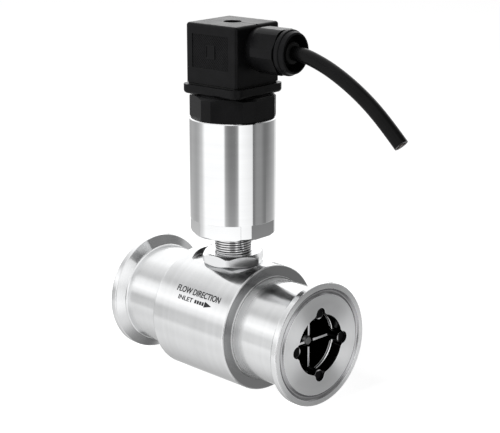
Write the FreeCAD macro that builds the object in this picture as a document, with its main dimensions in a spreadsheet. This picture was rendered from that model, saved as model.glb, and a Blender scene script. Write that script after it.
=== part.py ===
import FreeCAD, Part
import math
import os
import Sketcher

# Turbine flow meter with hygienic clamp ends and a plug-in cable head.
# Origin: centre of the inlet sealing face. +X downstream, +Z up the pickup.
# Lengths are in millimetres, angles in degrees.

# Driving dimensions, one cell each.
DIMENSIONS = (
    # Meter body, turned from one bar
    ("body_length", 100.0),
    ("bore_radius", 12.5),
    ("rim_radius", 25.25),
    ("rim_width", 2.85),
    ("rim_slope_end", 5.2),
    ("rim_edge_round", 0.35),
    ("foot_round", 0.9),
    ("tube_radius", 21.0),
    ("barrel_radius", 26.25),
    ("barrel_length", 42.6),
    ("shoulder_chamfer", 0.4),
    ("step_height", 0.55),
    ("step_width", 0.6),
    ("gasket_groove_inset", 2.25),
    ("gasket_groove_width", 2.3),
    ("gasket_groove_depth", 1.3),
    ("gasket_groove_slope", 0.45),
    ("notch_width", 5.0),
    ("notch_reach", 2.9),
    ("notch_depth", 23.0),
    ("notch_flare", 1.4),
    ("ring_groove_start", 4.9),
    ("ring_groove_width", 1.5),
    ("ring_groove_depth", 1.1),
    ("spot_face_depth", 2.3),
    ("spot_face_radius", 17.3),
    ("pickup_hole_radius", 7.45),
    ("pickup_hole_wall", 2.4),
    ("cut_overrun", 1.0),
    # Flow guides, the same at both ends
    ("ring_wire_radius", 0.6),
    ("ring_seat", 0.45),
    ("guide_tip", 6.6),
    ("guide_tip_radius", 1.5),
    ("guide_nose", 7.9),
    ("guide_nose_radius", 2.4),
    ("guide_neck", 13.0),
    ("guide_neck_radius", 3.6),
    ("guide_waist", 23.0),
    ("guide_hub_radius", 4.8),
    ("rotor_gap", 0.8),
    ("vane_thickness", 1.0),
    ("vane_bore_gap", 0.1),
    ("vane_setback", 7.2),
    ("vane_hub_gap", 0.03),
    ("lug_radius", 2.2),
    ("lug_offset", 0.4),
    ("lug_start", 0.8),
    ("lug_end", 17.0),
    ("lug_slot_depth", 0.25),
    # Bearings and rotor
    ("bush_socket_depth", 7.4),
    ("bush_outer_radius", 2.4),
    ("bush_socket_gap", 0.01),
    ("bush_bore_radius", 1.25),
    ("thrust_pad_thickness", 1.2),
    ("shaft_radius", 1.2),
    ("shaft_end_play", 0.15),
    ("shaft_chamfer", 0.25),
    ("rotor_length", 12.0),
    ("rotor_hub_radius", 5.0),
    ("rotor_bore_gap", 0.01),
    ("rotor_nose", 0.6),
    ("blade_root_radius", 4.2),
    ("blade_tip_gap", 0.5),
    ("blade_thickness", 0.9),
    ("blade_length", 11.0),
    ("blade_count", 6.0),
    ("blade_twist", 36.0),
    # Pickup stem, lock nut and coil; heights count up from the spot face
    ("head_turn", 5.6),
    ("stem_radius", 7.4),
    ("stem_seat_gap", 0.1),
    ("stem_proud", 2.0),
    ("stem_cavity_radius", 5.7),
    ("stem_floor", 1.0),
    ("stem_chamfer", 0.6),
    ("nut_height", 4.8),
    ("nut_flats", 23.4),
    ("nut_corner_radius", 13.0),
    ("nut_bore_radius", 7.45),
    ("nut_face_radius", 11.4),
    ("nut_bevel", 1.0),
    ("bobbin_bore_radius", 1.6),
    ("bobbin_tube_radius", 2.2),
    ("bobbin_flange_radius", 5.4),
    ("bobbin_flange", 0.9),
    ("bobbin_lift", 0.1),
    ("bobbin_length", 12.4),
    ("winding_radius", 5.0),
    ("winding_gap", 0.05),
    ("pole_radius", 1.5),
    ("pole_length", 17.0),
    ("magnet_radius", 4.0),
    ("magnet_height", 8.0),
    ("lead_radius", 0.4),
    ("lead_offset", 4.85),
    ("lead_rise", 6.5),
    # Housing and its circuit board
    ("housing_lift", 13.1),
    ("housing_height", 48.1),
    ("housing_radius", 17.6),
    ("housing_bore_radius", 15.9),
    ("housing_floor", 7.0),
    ("housing_flats", 32.5),
    ("housing_flats_height", 6.3),
    ("housing_bottom_chamfer", 0.8),
    ("housing_top_chamfer", 0.35),
    ("board_thickness", 1.6),
    ("board_width", 26.0),
    ("board_lead_gap", 0.5),
    ("board_foot_height", 1.0),
    ("board_foot_width", 14.6),
    ("board_top_gap", 0.5),
    ("chip_side", 7.0),
    ("chip_thickness", 1.4),
    ("chip_height", 29.0),
    ("capacitor_radius", 3.0),
    ("capacitor_length", 7.5),
    ("capacitor_height", 20.0),
    ("header_width", 12.0),
    ("header_depth", 5.0),
    ("header_height", 6.0),
    ("header_drop", 7.3),
    # Connector base
    ("collar_height", 9.55),
    ("collar_top_chamfer", 1.3),
    ("collar_flats", 32.4),
    ("collar_corners", 34.6),
    ("collar_chamfer", 0.9),
    ("collar_foot_radius", 16.9),
    ("spigot_radius", 15.6),
    ("spigot_depth", 7.8),
    ("spigot_cavity_radius", 12.6),
    ("spigot_cavity_roof", 3.6),
    ("seal_groove_drop", 4.9),
    ("seal_groove_width", 1.9),
    ("seal_groove_radius", 14.3),
    ("seal_major_radius", 15.08),
    ("seal_minor_radius", 0.76),
    ("flange_neck_radius", 14.6),
    ("flange_gap", 0.4),
    ("flange_thickness", 3.8),
    ("flange_side", 30.0),
    ("flange_corner", 3.6),
    ("flange_bevel", 1.3),
    ("pedestal_side", 20.0),
    ("pedestal_height", 3.0),
    ("pedestal_corner", 1.5),
    ("screw_hole_radius", 1.55),
    ("screw_hole_floor", 1.0),
    ("contact_width", 6.3),
    ("contact_thickness", 0.8),
    ("contact_offset", 8.0),
    ("contact_tail", 4.0),
    ("contact_top_gap", 1.1),
    ("contact_tip_bevel", 0.25),
    ("contact_slot_gap", 0.05),
    ("gasket_side", 26.0),
    ("gasket_opening", 20.8),
    ("gasket_corner", 1.6),
    ("gasket_thickness", 0.7),
    # Plug-in cap; its heights count up from its lower edge
    ("cap_side", 26.6),
    ("cap_height", 23.9),
    ("cap_corner_round", 1.4),
    ("cap_top_round", 1.2),
    ("cap_cavity_side", 22.4),
    ("cap_cavity_height", 17.3),
    ("panel_width", 18.8),
    ("panel_shift", -0.35),
    ("panel_bottom", 6.3),
    ("panel_top", 19.8),
    ("panel_depth", 0.35),
    ("badge_width", 4.8),
    ("badge_height", 5.4),
    ("badge_wall", 0.45),
    ("badge_depth", 0.25),
    ("screw_well_radius", 3.7),
    ("screw_well_depth", 3.8),
    ("cap_screw_hole_radius", 1.75),
    ("parting_width", 0.5),
    ("parting_depth", 0.5),
    ("parting_overlap", 0.5),
    ("parting_notch_width", 1.6),
    ("parting_notch_length", 1.5),
    ("gland_rise", 14.3),
    ("boss_radius", 8.4),
    ("boss_end", 16.2),
    ("neck_radius", 7.0),
    ("neck_end", 22.8),
    ("neck_bore_radius", 5.25),
    ("neck_bore_start", 17.0),
    ("entry_radius", 4.2),
    # Terminal block
    ("block_side", 22.2),
    ("block_lift", 0.3),
    ("block_height", 5.9),
    ("block_corner", 1.0),
    ("block_slot_width", 6.9),
    ("block_slot_thickness", 1.4),
    ("terminal_offset", 5.0),
    ("terminal_hole_radius", 1.05),
    ("terminal_hole_depth", 3.5),
    ("terminal_end_gap", 0.2),
    ("terminal_shank_radius", 1.0),
    ("terminal_head_radius", 1.8),
    ("terminal_head_height", 1.3),
    ("terminal_slot_width", 0.5),
    ("terminal_slot_depth", 0.6),
    # Fixing screw
    ("washer_radius", 3.2),
    ("washer_hole_radius", 1.6),
    ("washer_thickness", 0.5),
    ("screw_radius", 1.45),
    ("screw_end_gap", 1.0),
    ("screw_point", 0.5),
    ("screw_head_radius", 2.75),
    ("screw_head_height", 1.5),
    ("screw_head_bevel", 0.4),
    ("screw_slot_width", 0.8),
    ("screw_slot_depth", 0.8),
    # Cable gland; its stations count out from the pickup axis
    ("seal_start", 17.1),
    ("seal_shoulder", 25.2),
    ("seal_outer_radius", 5.15),
    ("seal_nose_radius", 4.4),
    ("seal_nose_bevel", 0.4),
    ("seal_cable_gap", 0.02),
    ("seal_end", 31.4),
    ("gland_washer_radius", 6.6),
    ("gland_washer_hole", 4.5),
    ("gland_washer_thickness", 0.6),
    ("gland_start", 16.35),
    ("gland_start_bevel", 0.5),
    ("gland_flats_end", 27.7),
    ("gland_groove_end", 28.2),
    ("gland_groove_radius", 8.6),
    ("gland_end", 32.4),
    ("gland_flats", 17.8),
    ("gland_corner_radius", 9.45),
    ("gland_collar_radius", 9.1),
    ("gland_bead_end", 30.3),
    ("gland_dome_back", 8.6),
    ("gland_dome_front", 8.1),
    ("gland_thread_radius", 7.1),
    ("gland_seat_radius", 6.7),
    ("gland_lip_start", 25.9),
    ("gland_lip_end", 27.1),
    ("gland_lip_radius", 4.55),
    ("gland_mouth_radius", 7.0),
    ("gland_mouth_flare", 0.35),
    ("gland_rim_round", 0.45),
    # Cable and its cores
    ("cable_radius", 2.9),
    ("tail_start", 9.5),
    ("tail_end", 28.4),
    ("core_radius", 0.65),
)

# Route of the free cable about the gland axis, from the gland outwards.
CABLE_ROUTE = (
    (28.4, 0.0, 0.0),
    (33.8, 0.0, 0.0),
    (39.4, 0.0, -0.95),
    (49.6, 0.0, -4.6),
    (61.5, 0.0, -11.1),
    (73.1, 0.0, -19.8),
    (82.4, 0.0, -29.2),
)

# Routes of the three cores about the same axis, from the jacket end to the screws.
CORE_ROUTES = (
    ((9.5, 1.1, -0.6), (8.0, 1.1, -0.6), (5.0, 5.0, -1.8), (5.0, 5.0, -4.45)),
    ((9.5, -1.1, -0.6), (8.0, -1.1, -0.6), (5.0, -5.0, -1.8), (5.0, -5.0, -4.45)),
    ((9.5, 1.0, 1.2), (4.5, 1.0, 1.2), (-5.0, 5.0, -0.4), (-5.0, 5.0, -4.45)),
)

# Share of a run that the arc at its end takes.
ARC_SHARE = 0.45

# Whole turn, and the corner count of a hexagon.
FULL_TURN = 360.0
HALF_TURN = 180.0
HEXAGON = 6
SQUARE = 4
BLADE_SECTIONS = 5

# First corner of a hexagon: on the X axis, or with a flat across it.
CORNER_ON_X = 0.0
FLAT_ON_X = FULL_TURN / HEXAGON / 2

# Turns at which the screwed-on housing and the collar come to rest.
HOUSING_REST = -1.5
COLLAR_REST = 2.5

X_AXIS = FreeCAD.Vector(1, 0, 0)
Y_AXIS = FreeCAD.Vector(0, 1, 0)
Z_AXIS = FreeCAD.Vector(0, 0, 1)
CLOSE = 0.02

doc = FreeCAD.newDocument("TurbineFlowMeter")
sheet = doc.addObject("Spreadsheet::Sheet", "Dimensions")
for row, (alias, number) in enumerate(DIMENSIONS, start=1):
    sheet.set(f"A{row}", alias)
    sheet.set(f"B{row}", str(number))
    sheet.setAlias(f"B{row}", alias)
doc.recompute()

CELLS = dict(DIMENSIONS)
PARTS = []


class Size:
    """A length or angle built from named cells: its value and its expression."""

    def __init__(self, value, text):
        self.value = value
        self.text = text

    def _join(self, other, sign, value):
        text = other.text if isinstance(other, Size) else repr(float(other))
        return Size(value, f"({self.text} {sign} {text})")

    def __add__(self, other):
        return self._join(other, "+", self.value + number_of(other))

    def __sub__(self, other):
        return self._join(other, "-", self.value - number_of(other))

    def __mul__(self, other):
        return self._join(other, "*", self.value * number_of(other))

    def __truediv__(self, other):
        return self._join(other, "/", self.value / number_of(other))

    def __neg__(self):
        return Size(-self.value, f"(-1.0 * {self.text})")


def number_of(quantity):
    """Gives the plain value of a Size or a number."""
    return quantity.value if isinstance(quantity, Size) else float(quantity)


def cell(alias):
    """Gives the Size of one named cell."""
    return Size(CELLS[alias], f"Dimensions.{alias}")


ZERO = Size(0.0, "0.0")

# Stations along the pipe and radii about it that follow from the driving dimensions.
length = cell("body_length")
half_length = length / 2
half_barrel = cell("barrel_length") / 2
guide_end = half_length - cell("rotor_length") / 2 - cell("rotor_gap")
vane_end = guide_end - cell("vane_setback")
vane_reach = cell("bore_radius") - cell("vane_bore_gap")
step_radius = cell("tube_radius") + cell("step_height")
gasket_outer = cell("rim_radius") - cell("gasket_groove_inset")
gasket_inner = gasket_outer - cell("gasket_groove_width")
notch_tip = cell("bore_radius") + cell("notch_reach")
ring_groove_radius = cell("bore_radius") + cell("ring_groove_depth")
lug_slot_floor = cell("bore_radius") - cell("lug_slot_depth")
over = cell("cut_overrun")

# Levels of the head above the spot face, each from the piece that carries it.
spot_face = cell("barrel_radius") - cell("spot_face_depth")
pickup_floor = cell("bore_radius") + cell("pickup_hole_wall")
stem_bottom = pickup_floor + cell("stem_seat_gap") - spot_face
stem_inside = stem_bottom + cell("stem_floor")
housing_bottom = cell("housing_lift")
housing_floor = housing_bottom + cell("housing_floor")
housing_top = housing_bottom + cell("housing_height")
stem_top = housing_floor + cell("stem_proud")
lead_top = housing_floor + cell("lead_rise")
collar_top = housing_top + cell("collar_height")
spigot_bottom = housing_top - cell("spigot_depth")
cavity_roof = collar_top - cell("spigot_cavity_roof")
flange_bottom = collar_top + cell("flange_gap")
flange_top = flange_bottom + cell("flange_thickness")
pedestal_top = flange_top + cell("pedestal_height")
cap_bottom = flange_top + cell("gasket_thickness")
cap_top = cap_bottom + cell("cap_height")
cavity_top = cap_bottom + cell("cap_cavity_height")
well_floor = cap_top - cell("screw_well_depth")
gland_axis = cap_bottom + cell("gland_rise")
block_bottom = pedestal_top + cell("block_lift")
block_top = block_bottom + cell("block_height")


def bind(target, prop, quantity):
    """Sets a property from a Size and keeps it bound to the sheet."""
    setattr(target, prop, quantity.value)
    target.setExpression(prop, quantity.text)


def place_head(piece, rise=ZERO):
    """Stands a piece on the pickup axis above the spot face, turned with the head."""
    turn = cell("head_turn")
    level = spot_face + rise
    piece.Placement = FreeCAD.Placement(
        FreeCAD.Vector(half_length.value, 0, level.value), FreeCAD.Rotation(Z_AXIS, turn.value)
    )
    piece.setExpression("Placement.Base.x", half_length.text)
    piece.setExpression("Placement.Base.z", level.text)
    piece.setExpression("Placement.Rotation.Angle", turn.text)


def place_outlet(piece):
    """Turns a piece end for end about Z, so that it faces the outlet."""
    piece.Placement = FreeCAD.Placement(
        FreeCAD.Vector(length.value, 0, 0), FreeCAD.Rotation(Z_AXIS, HALF_TURN)
    )
    piece.setExpression("Placement.Base.x", length.text)


def keep(piece, node):
    """Records a finished sub-part under its node name."""
    piece.Label = node
    PARTS.append((node, piece))
    return piece


def new_body(name):
    """Adds an empty body."""
    return doc.addObject("PartDesign::Body", name)


def settle(feature):
    """Rebuilds the document and stops if the new feature failed."""
    doc.recompute()
    if "Invalid" in feature.State or "Error" in feature.State:
        raise ValueError(f"{feature.Name} failed to build")
    return feature


def new_sketch(body, name, plane, offset=None):
    """Adds a sketch on one of the body's own origin planes, moved along its normal."""
    sketch = body.newObject("Sketcher::SketchObject", name)
    for feature in body.Origin.OriginFeatures:
        if feature.Role == plane:
            sketch.AttachmentSupport = [(feature, "")]
    sketch.MapMode = "FlatFace"
    if offset is not None:
        sketch.AttachmentOffset = FreeCAD.Placement(
            FreeCAD.Vector(0, 0, offset.value), FreeCAD.Rotation()
        )
        sketch.setExpression("AttachmentOffset.Base.z", offset.text)
    return sketch


def pin_point(sketch, geometry, position, point, tag):
    """Holds a sketch point at two bound distances from the origin."""
    for kind, letter, quantity in zip(("DistanceX", "DistanceY"), "xy", point):
        index = sketch.addConstraint(
            Sketcher.Constraint(kind, -1, 1, geometry, position, quantity.value)
        )
        sketch.renameConstraint(index, f"{letter}{tag}")
        sketch.setExpression(f"Constraints.{letter}{tag}", quantity.text)


def draw_outline(sketch, points):
    """Draws a closed outline of straight lines through bound points."""
    first = sketch.GeometryCount
    count = len(points)
    for place in range(count):
        start = points[place]
        stop = points[(place + 1) % count]
        sketch.addGeometry(
            Part.LineSegment(
                FreeCAD.Vector(start[0].value, start[1].value, 0),
                FreeCAD.Vector(stop[0].value, stop[1].value, 0),
            ),
            False,
        )
    for place in range(count):
        after = first + (place + 1) % count
        sketch.addConstraint(Sketcher.Constraint("Coincident", first + place, 2, after, 1))
    for place, point in enumerate(points):
        pin_point(sketch, first + place, 1, point, first + place)


def draw_circle(sketch, centre, radius):
    """Draws a circle with a bound centre and radius."""
    index = sketch.addGeometry(
        Part.Circle(
            FreeCAD.Vector(centre[0].value, centre[1].value, 0), Z_AXIS, radius.value
        ),
        False,
    )
    pin_point(sketch, index, 3, centre, index)
    held = sketch.addConstraint(Sketcher.Constraint("Radius", index, radius.value))
    sketch.renameConstraint(held, f"r{index}")
    sketch.setExpression(f"Constraints.r{index}", radius.text)


def draw_box(sketch, low, high):
    """Draws a rectangle between two bound corners."""
    draw_outline(
        sketch,
        [(low[0], low[1]), (high[0], low[1]), (high[0], high[1]), (low[0], high[1])],
    )


def draw_square(sketch, side):
    """Draws a square about the origin."""
    half = side / 2
    draw_box(sketch, (-half, -half), (half, half))


def draw_polygon(sketch, corners, reach, first_angle, centre=(ZERO, ZERO)):
    """Draws a regular polygon whose corners stand at a bound reach."""
    points = []
    for corner in range(corners):
        angle = math.radians(first_angle + FULL_TURN * corner / corners)
        points.append(
            (reach * math.cos(angle) + centre[0], reach * math.sin(angle) + centre[1])
        )
    draw_outline(sketch, points)


def hexagon_reach(flats):
    """Corner distance of a hexagon with a given width across flats."""
    return flats / 2 / math.cos(math.pi / HEXAGON)


def revolve(body, name, plane, axis, points):
    """Turns a closed profile into a full ring of revolution."""
    sketch = new_sketch(body, f"{name}_profile", plane)
    draw_outline(sketch, points)
    feature = body.newObject("PartDesign::Revolution", name)
    feature.Profile = sketch
    feature.ReferenceAxis = (sketch, [axis])
    feature.Angle = FULL_TURN
    return settle(feature)


def groove(body, name, plane, axis, points):
    """Cuts a ring of revolution out of the body and checks that it cut."""
    before = body.Shape.Volume
    sketch = new_sketch(body, f"{name}_profile", plane)
    draw_outline(sketch, points)
    feature = body.newObject("PartDesign::Groove", name)
    feature.Profile = sketch
    feature.ReferenceAxis = (sketch, [axis])
    feature.Angle = FULL_TURN
    settle(feature)
    if body.Shape.Volume >= before:
        raise ValueError(f"{name} removes nothing")
    return feature


def pad(body, name, sketch, length, flip=False, both=False):
    """Raises a pad from a sketch."""
    feature = body.newObject("PartDesign::Pad", name)
    feature.Profile = sketch
    bind(feature, "Length", length)
    feature.Reversed = flip
    feature.Midplane = both
    return settle(feature)


def pocket(body, name, sketch, length, flip=False, both=False):
    """Cuts a pocket from a sketch and checks that it cut."""
    before = body.Shape.Volume
    feature = body.newObject("PartDesign::Pocket", name)
    feature.Profile = sketch
    bind(feature, "Length", length)
    feature.Reversed = flip
    feature.Midplane = both
    settle(feature)
    if body.Shape.Volume >= before:
        raise ValueError(f"{name} removes nothing")
    return feature


def pattern(body, name, originals, axis, count):
    """Repeats features evenly round an axis and makes the pattern the tip."""
    feature = body.newObject("PartDesign::PolarPattern", name)
    feature.Originals = originals
    feature.Axis = axis
    feature.Angle = FULL_TURN
    feature.Occurrences = int(count)
    body.Tip = feature
    return settle(feature)


def dress(body, name, kind, edges, quantity):
    """Rounds or chamfers named edges of the body's last feature."""
    if not edges:
        raise ValueError(f"{name} finds no edge")
    feature = body.newObject(f"PartDesign::{kind}", name)
    feature.Base = (body.Tip if body.Tip is not feature else feature.BaseFeature, edges)
    bind(feature, "Radius" if kind == "Fillet" else "Size", quantity)
    return settle(feature)


def ring_edges(body, axis, places):
    """Finds circular edges about an axis at given stations and radii."""
    found = []
    for index, edge in enumerate(body.Shape.Edges, start=1):
        curve = edge.Curve
        if not isinstance(curve, Part.Circle):
            continue
        if abs(abs(curve.Axis.dot(axis)) - 1) > CLOSE:
            continue
        if (curve.Center - axis * curve.Center.dot(axis)).Length > CLOSE:
            continue
        for station, radius in places:
            near = abs(curve.Center.dot(axis) - number_of(station)) < CLOSE
            if near and abs(curve.Radius - number_of(radius)) < CLOSE:
                found.append(f"Edge{index}")
    return found


def straight_edges(body, axis, test):
    """Finds straight edges along an axis whose middle passes a test."""
    found = []
    for index, edge in enumerate(body.Shape.Edges, start=1):
        if not isinstance(edge.Curve, (Part.Line, Part.LineSegment)):
            continue
        along = (edge.Vertexes[-1].Point - edge.Vertexes[0].Point).normalize()
        if abs(abs(along.dot(axis)) - 1) > CLOSE:
            continue
        middle = (edge.Vertexes[-1].Point + edge.Vertexes[0].Point) / 2
        if test(middle):
            found.append(f"Edge{index}")
    return found


def level_edges(body, height):
    """Finds every edge that lies wholly at one height."""
    found = []
    for index, edge in enumerate(body.Shape.Edges, start=1):
        box = edge.BoundBox
        if abs(box.ZMin - height.value) < CLOSE and abs(box.ZMax - height.value) < CLOSE:
            found.append(f"Edge{index}")
    return found


def rounded_route(points, label):
    """Joins straight runs by tangent arcs and prints the arc radii."""
    runs = [(b - a) for a, b in zip(points, points[1:])]
    edges = []
    start = points[0]
    radii = []
    for corner, (before, after) in enumerate(zip(runs, runs[1:]), start=1):
        turn = before.getAngle(after)
        radius = ARC_SHARE * min(before.Length, after.Length) / math.tan(turn / 2)
        reach = radius * math.tan(turn / 2)
        into = FreeCAD.Vector(before).normalize()
        out = FreeCAD.Vector(after).normalize()
        entry = points[corner] - into * reach
        leave = points[corner] + out * reach
        inward = (out - into).normalize()
        bulge = radius / math.cos(turn / 2) - radius
        middle = points[corner] + inward * bulge
        edges.append(Part.LineSegment(start, entry).toShape())
        edges.append(Part.Arc(entry, middle, leave).toShape())
        start = leave
        radii.append(radius)
    edges.append(Part.LineSegment(start, points[-1]).toShape())
    print(label, "arc radii", [round(radius, 1) for radius in radii])
    return Part.Wire(edges)


def tube_along(points, radius, label):
    """Sweeps a round section along a rounded route and checks its volume."""
    route = rounded_route(points, label)
    facing = points[1] - points[0]
    section = Part.Wire([Part.Circle(points[0], facing, radius).toShape()])
    solid = route.makePipeShell([section], True, False)
    expected = math.pi * radius * radius * route.Length
    print(label, "length", round(route.Length, 1), "volume", round(solid.Volume / expected, 4))
    return solid


# Meter body: ferrule, tube, barrel, tube and ferrule in one profile.
depth = cell("gasket_groove_depth")
slope = cell("gasket_groove_slope")
step = half_barrel + cell("step_width")
meter = new_body("MeterBody")
revolve(
    meter,
    "Bar",
    "XZ_Plane",
    "H_Axis",
    [
        (ZERO, cell("bore_radius")),
        (ZERO, gasket_inner),
        (depth, gasket_inner + slope),
        (depth, gasket_outer - slope),
        (ZERO, gasket_outer),
        (ZERO, cell("rim_radius")),
        (cell("rim_width"), cell("rim_radius")),
        (cell("rim_slope_end"), cell("tube_radius")),
        (half_length - step, cell("tube_radius")),
        (half_length - step, step_radius),
        (half_length - half_barrel, step_radius),
        (half_length - half_barrel, cell("barrel_radius")),
        (half_length + half_barrel, cell("barrel_radius")),
        (half_length + half_barrel, step_radius),
        (half_length + step, step_radius),
        (half_length + step, cell("tube_radius")),
        (length - cell("rim_slope_end"), cell("tube_radius")),
        (length - cell("rim_width"), cell("rim_radius")),
        (length, cell("rim_radius")),
        (length, gasket_outer),
        (length - depth, gasket_outer - slope),
        (length - depth, gasket_inner + slope),
        (length, gasket_inner),
        (length, cell("bore_radius")),
    ],
)
dress(
    meter,
    "FootRound",
    "Fillet",
    ring_edges(
        meter,
        X_AXIS,
        [
            (cell("rim_slope_end"), cell("tube_radius")),
            (length - cell("rim_slope_end"), cell("tube_radius")),
        ],
    ),
    cell("foot_round"),
)
dress(
    meter,
    "RimRound",
    "Fillet",
    ring_edges(
        meter,
        X_AXIS,
        [
            (ZERO, cell("rim_radius")),
            (cell("rim_width"), cell("rim_radius")),
            (length - cell("rim_width"), cell("rim_radius")),
            (length, cell("rim_radius")),
        ],
    ),
    cell("rim_edge_round"),
)
dress(
    meter,
    "ShoulderChamfer",
    "Chamfer",
    ring_edges(
        meter,
        X_AXIS,
        [
            (half_length - half_barrel, cell("barrel_radius")),
            (half_length + half_barrel, cell("barrel_radius")),
        ],
    ),
    cell("shoulder_chamfer"),
)

# Spot face for the lock nut and the blind pickup hole beneath it.
spot = new_sketch(meter, "SpotFaceSketch", "XY_Plane", spot_face)
draw_circle(spot, (half_length, ZERO), cell("spot_face_radius"))
pocket(meter, "SpotFace", spot, cell("spot_face_depth") + over, flip=True)
hole = new_sketch(meter, "PickupHoleSketch", "XY_Plane", spot_face)
draw_circle(hole, (half_length, ZERO), cell("pickup_hole_radius"))
pocket(meter, "PickupHole", hole, spot_face - pickup_floor)


def cut_notches(name, offset, flip):
    """Cuts the four round-ended, flared keyways of one bore end."""
    half = cell("notch_width") / 2
    wide = half + cell("notch_flare")
    reach = notch_tip - half
    mouth = cell("bore_radius") - over
    right = [(mouth, -wide), (reach, -half), (reach, half), (mouth, wide)]
    left = [(-along, -across) for along, across in right]
    flat = new_sketch(meter, f"{name}Flat", "YZ_Plane", offset)
    draw_outline(flat, right + left)
    pocket(meter, f"{name}FlatCut", flat, cell("notch_depth"), flip=flip)
    tall = new_sketch(meter, f"{name}Tall", "YZ_Plane", offset)
    draw_outline(tall, [(across, along) for along, across in right + left])
    pocket(meter, f"{name}TallCut", tall, cell("notch_depth"), flip=flip)
    tips = new_sketch(meter, f"{name}Tips", "YZ_Plane", offset)
    for centre in ((reach, ZERO), (-reach, ZERO), (ZERO, reach), (ZERO, -reach)):
        draw_circle(tips, centre, half)
    pocket(meter, f"{name}TipsCut", tips, cell("notch_depth"), flip=flip)


cut_notches("InletNotch", ZERO, True)
cut_notches("OutletNotch", length, False)

# Grooves for the two retaining rings.
for side, start in (
    ("Inlet", cell("ring_groove_start")),
    ("Outlet", length - cell("ring_groove_start") - cell("ring_groove_width")),
):
    inner = cell("bore_radius") - over
    groove(
        meter,
        f"{side}RingGroove",
        "XZ_Plane",
        "H_Axis",
        [
            (start, inner),
            (start + cell("ring_groove_width"), inner),
            (start + cell("ring_groove_width"), ring_groove_radius),
            (start, ring_groove_radius),
        ],
    )
keep(meter, "meter_body")


def build_guide(side, to_outlet):
    """Makes one end's guide hub, vanes, bush, thrust pad and retaining ring."""
    socket = guide_end - cell("bush_socket_depth")
    socket_radius = cell("bush_outer_radius") + cell("bush_socket_gap")
    hub = new_body(f"{side}Hub")
    revolve(
        hub,
        f"{side}HubTurned",
        "XZ_Plane",
        "H_Axis",
        [
            (cell("guide_tip"), ZERO),
            (cell("guide_tip"), cell("guide_tip_radius")),
            (cell("guide_nose"), cell("guide_nose_radius")),
            (cell("guide_neck"), cell("guide_neck_radius")),
            (cell("guide_waist"), cell("guide_hub_radius")),
            (guide_end, cell("guide_hub_radius")),
            (guide_end, socket_radius),
            (socket, socket_radius),
            (socket, ZERO),
        ],
    )
    keep(hub, f"{side}_guide_hub")

    gap = cell("vane_hub_gap")
    vanes = new_body(f"{side}Vanes")
    plate = new_sketch(vanes, f"{side}VaneSketch", "XZ_Plane")
    behind_ring = cell("ring_groove_start") + cell("ring_groove_width")
    draw_outline(
        plate,
        [
            (cell("guide_nose"), cell("guide_nose_radius") + gap),
            (cell("guide_neck"), cell("guide_neck_radius") + gap),
            (cell("guide_waist"), cell("guide_hub_radius") + gap),
            (vane_end, cell("guide_hub_radius") + gap),
            (vane_end, vane_reach),
            (behind_ring, vane_reach),
            (behind_ring, cell("guide_nose_radius") + gap),
        ],
    )
    blade = pad(vanes, f"{side}Vane", plate, cell("vane_thickness"), both=True)
    ear = new_sketch(vanes, f"{side}LugSketch", "YZ_Plane", cell("lug_start"))
    draw_circle(ear, (ZERO, cell("bore_radius") + cell("lug_offset")), cell("lug_radius"))
    lug = pad(vanes, f"{side}Lug", ear, cell("lug_end") - cell("lug_start"))
    pattern(vanes, f"{side}VaneSet", [blade, lug], (ear, ["N_Axis"]), SQUARE)
    groove(
        vanes,
        f"{side}LugSlot",
        "XZ_Plane",
        "H_Axis",
        [
            (cell("ring_groove_start"), lug_slot_floor),
            (behind_ring, lug_slot_floor),
            (behind_ring, ring_groove_radius),
            (cell("ring_groove_start"), ring_groove_radius),
        ],
    )
    keep(vanes, f"{side}_guide_vanes")

    bush = new_body(f"{side}Bush")
    bush_start = socket + cell("thrust_pad_thickness")
    revolve(
        bush,
        f"{side}BushTurned",
        "XZ_Plane",
        "H_Axis",
        [
            (bush_start, cell("bush_bore_radius")),
            (guide_end, cell("bush_bore_radius")),
            (guide_end, cell("bush_outer_radius")),
            (bush_start, cell("bush_outer_radius")),
        ],
    )
    keep(bush, f"{side}_bearing_bush")

    thrust = doc.addObject("Part::Cylinder", f"{side}ThrustPad")
    bind(thrust, "Radius", cell("bush_outer_radius"))
    bind(thrust, "Height", cell("thrust_pad_thickness"))
    thrust.Placement = FreeCAD.Placement(
        FreeCAD.Vector(socket.value, 0, 0), FreeCAD.Rotation(Z_AXIS, X_AXIS)
    )
    thrust.setExpression("Placement.Base.x", socket.text)
    keep(thrust, f"{side}_thrust_pad")

    ring = doc.addObject("Part::Torus", f"{side}RetainingRing")
    bind(ring, "Radius1", cell("bore_radius") + cell("ring_seat"))
    bind(ring, "Radius2", cell("ring_wire_radius"))
    middle = cell("ring_groove_start") + cell("ring_groove_width") / 2
    ring.Placement = FreeCAD.Placement(
        FreeCAD.Vector(middle.value, 0, 0), FreeCAD.Rotation(Z_AXIS, X_AXIS)
    )
    ring.setExpression("Placement.Base.x", middle.text)
    keep(ring, f"{side}_retaining_ring")

    if to_outlet:
        for body in (hub, vanes, bush):
            place_outlet(body)
        flipped = length - socket
        thrust.Placement = FreeCAD.Placement(
            FreeCAD.Vector(flipped.value, 0, 0), FreeCAD.Rotation(Z_AXIS, -X_AXIS)
        )
        thrust.setExpression("Placement.Base.x", flipped.text)
        far = length - middle
        ring.setExpression("Placement.Base.x", far.text)
    doc.recompute()


build_guide("inlet", False)
build_guide("outlet", True)

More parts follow.
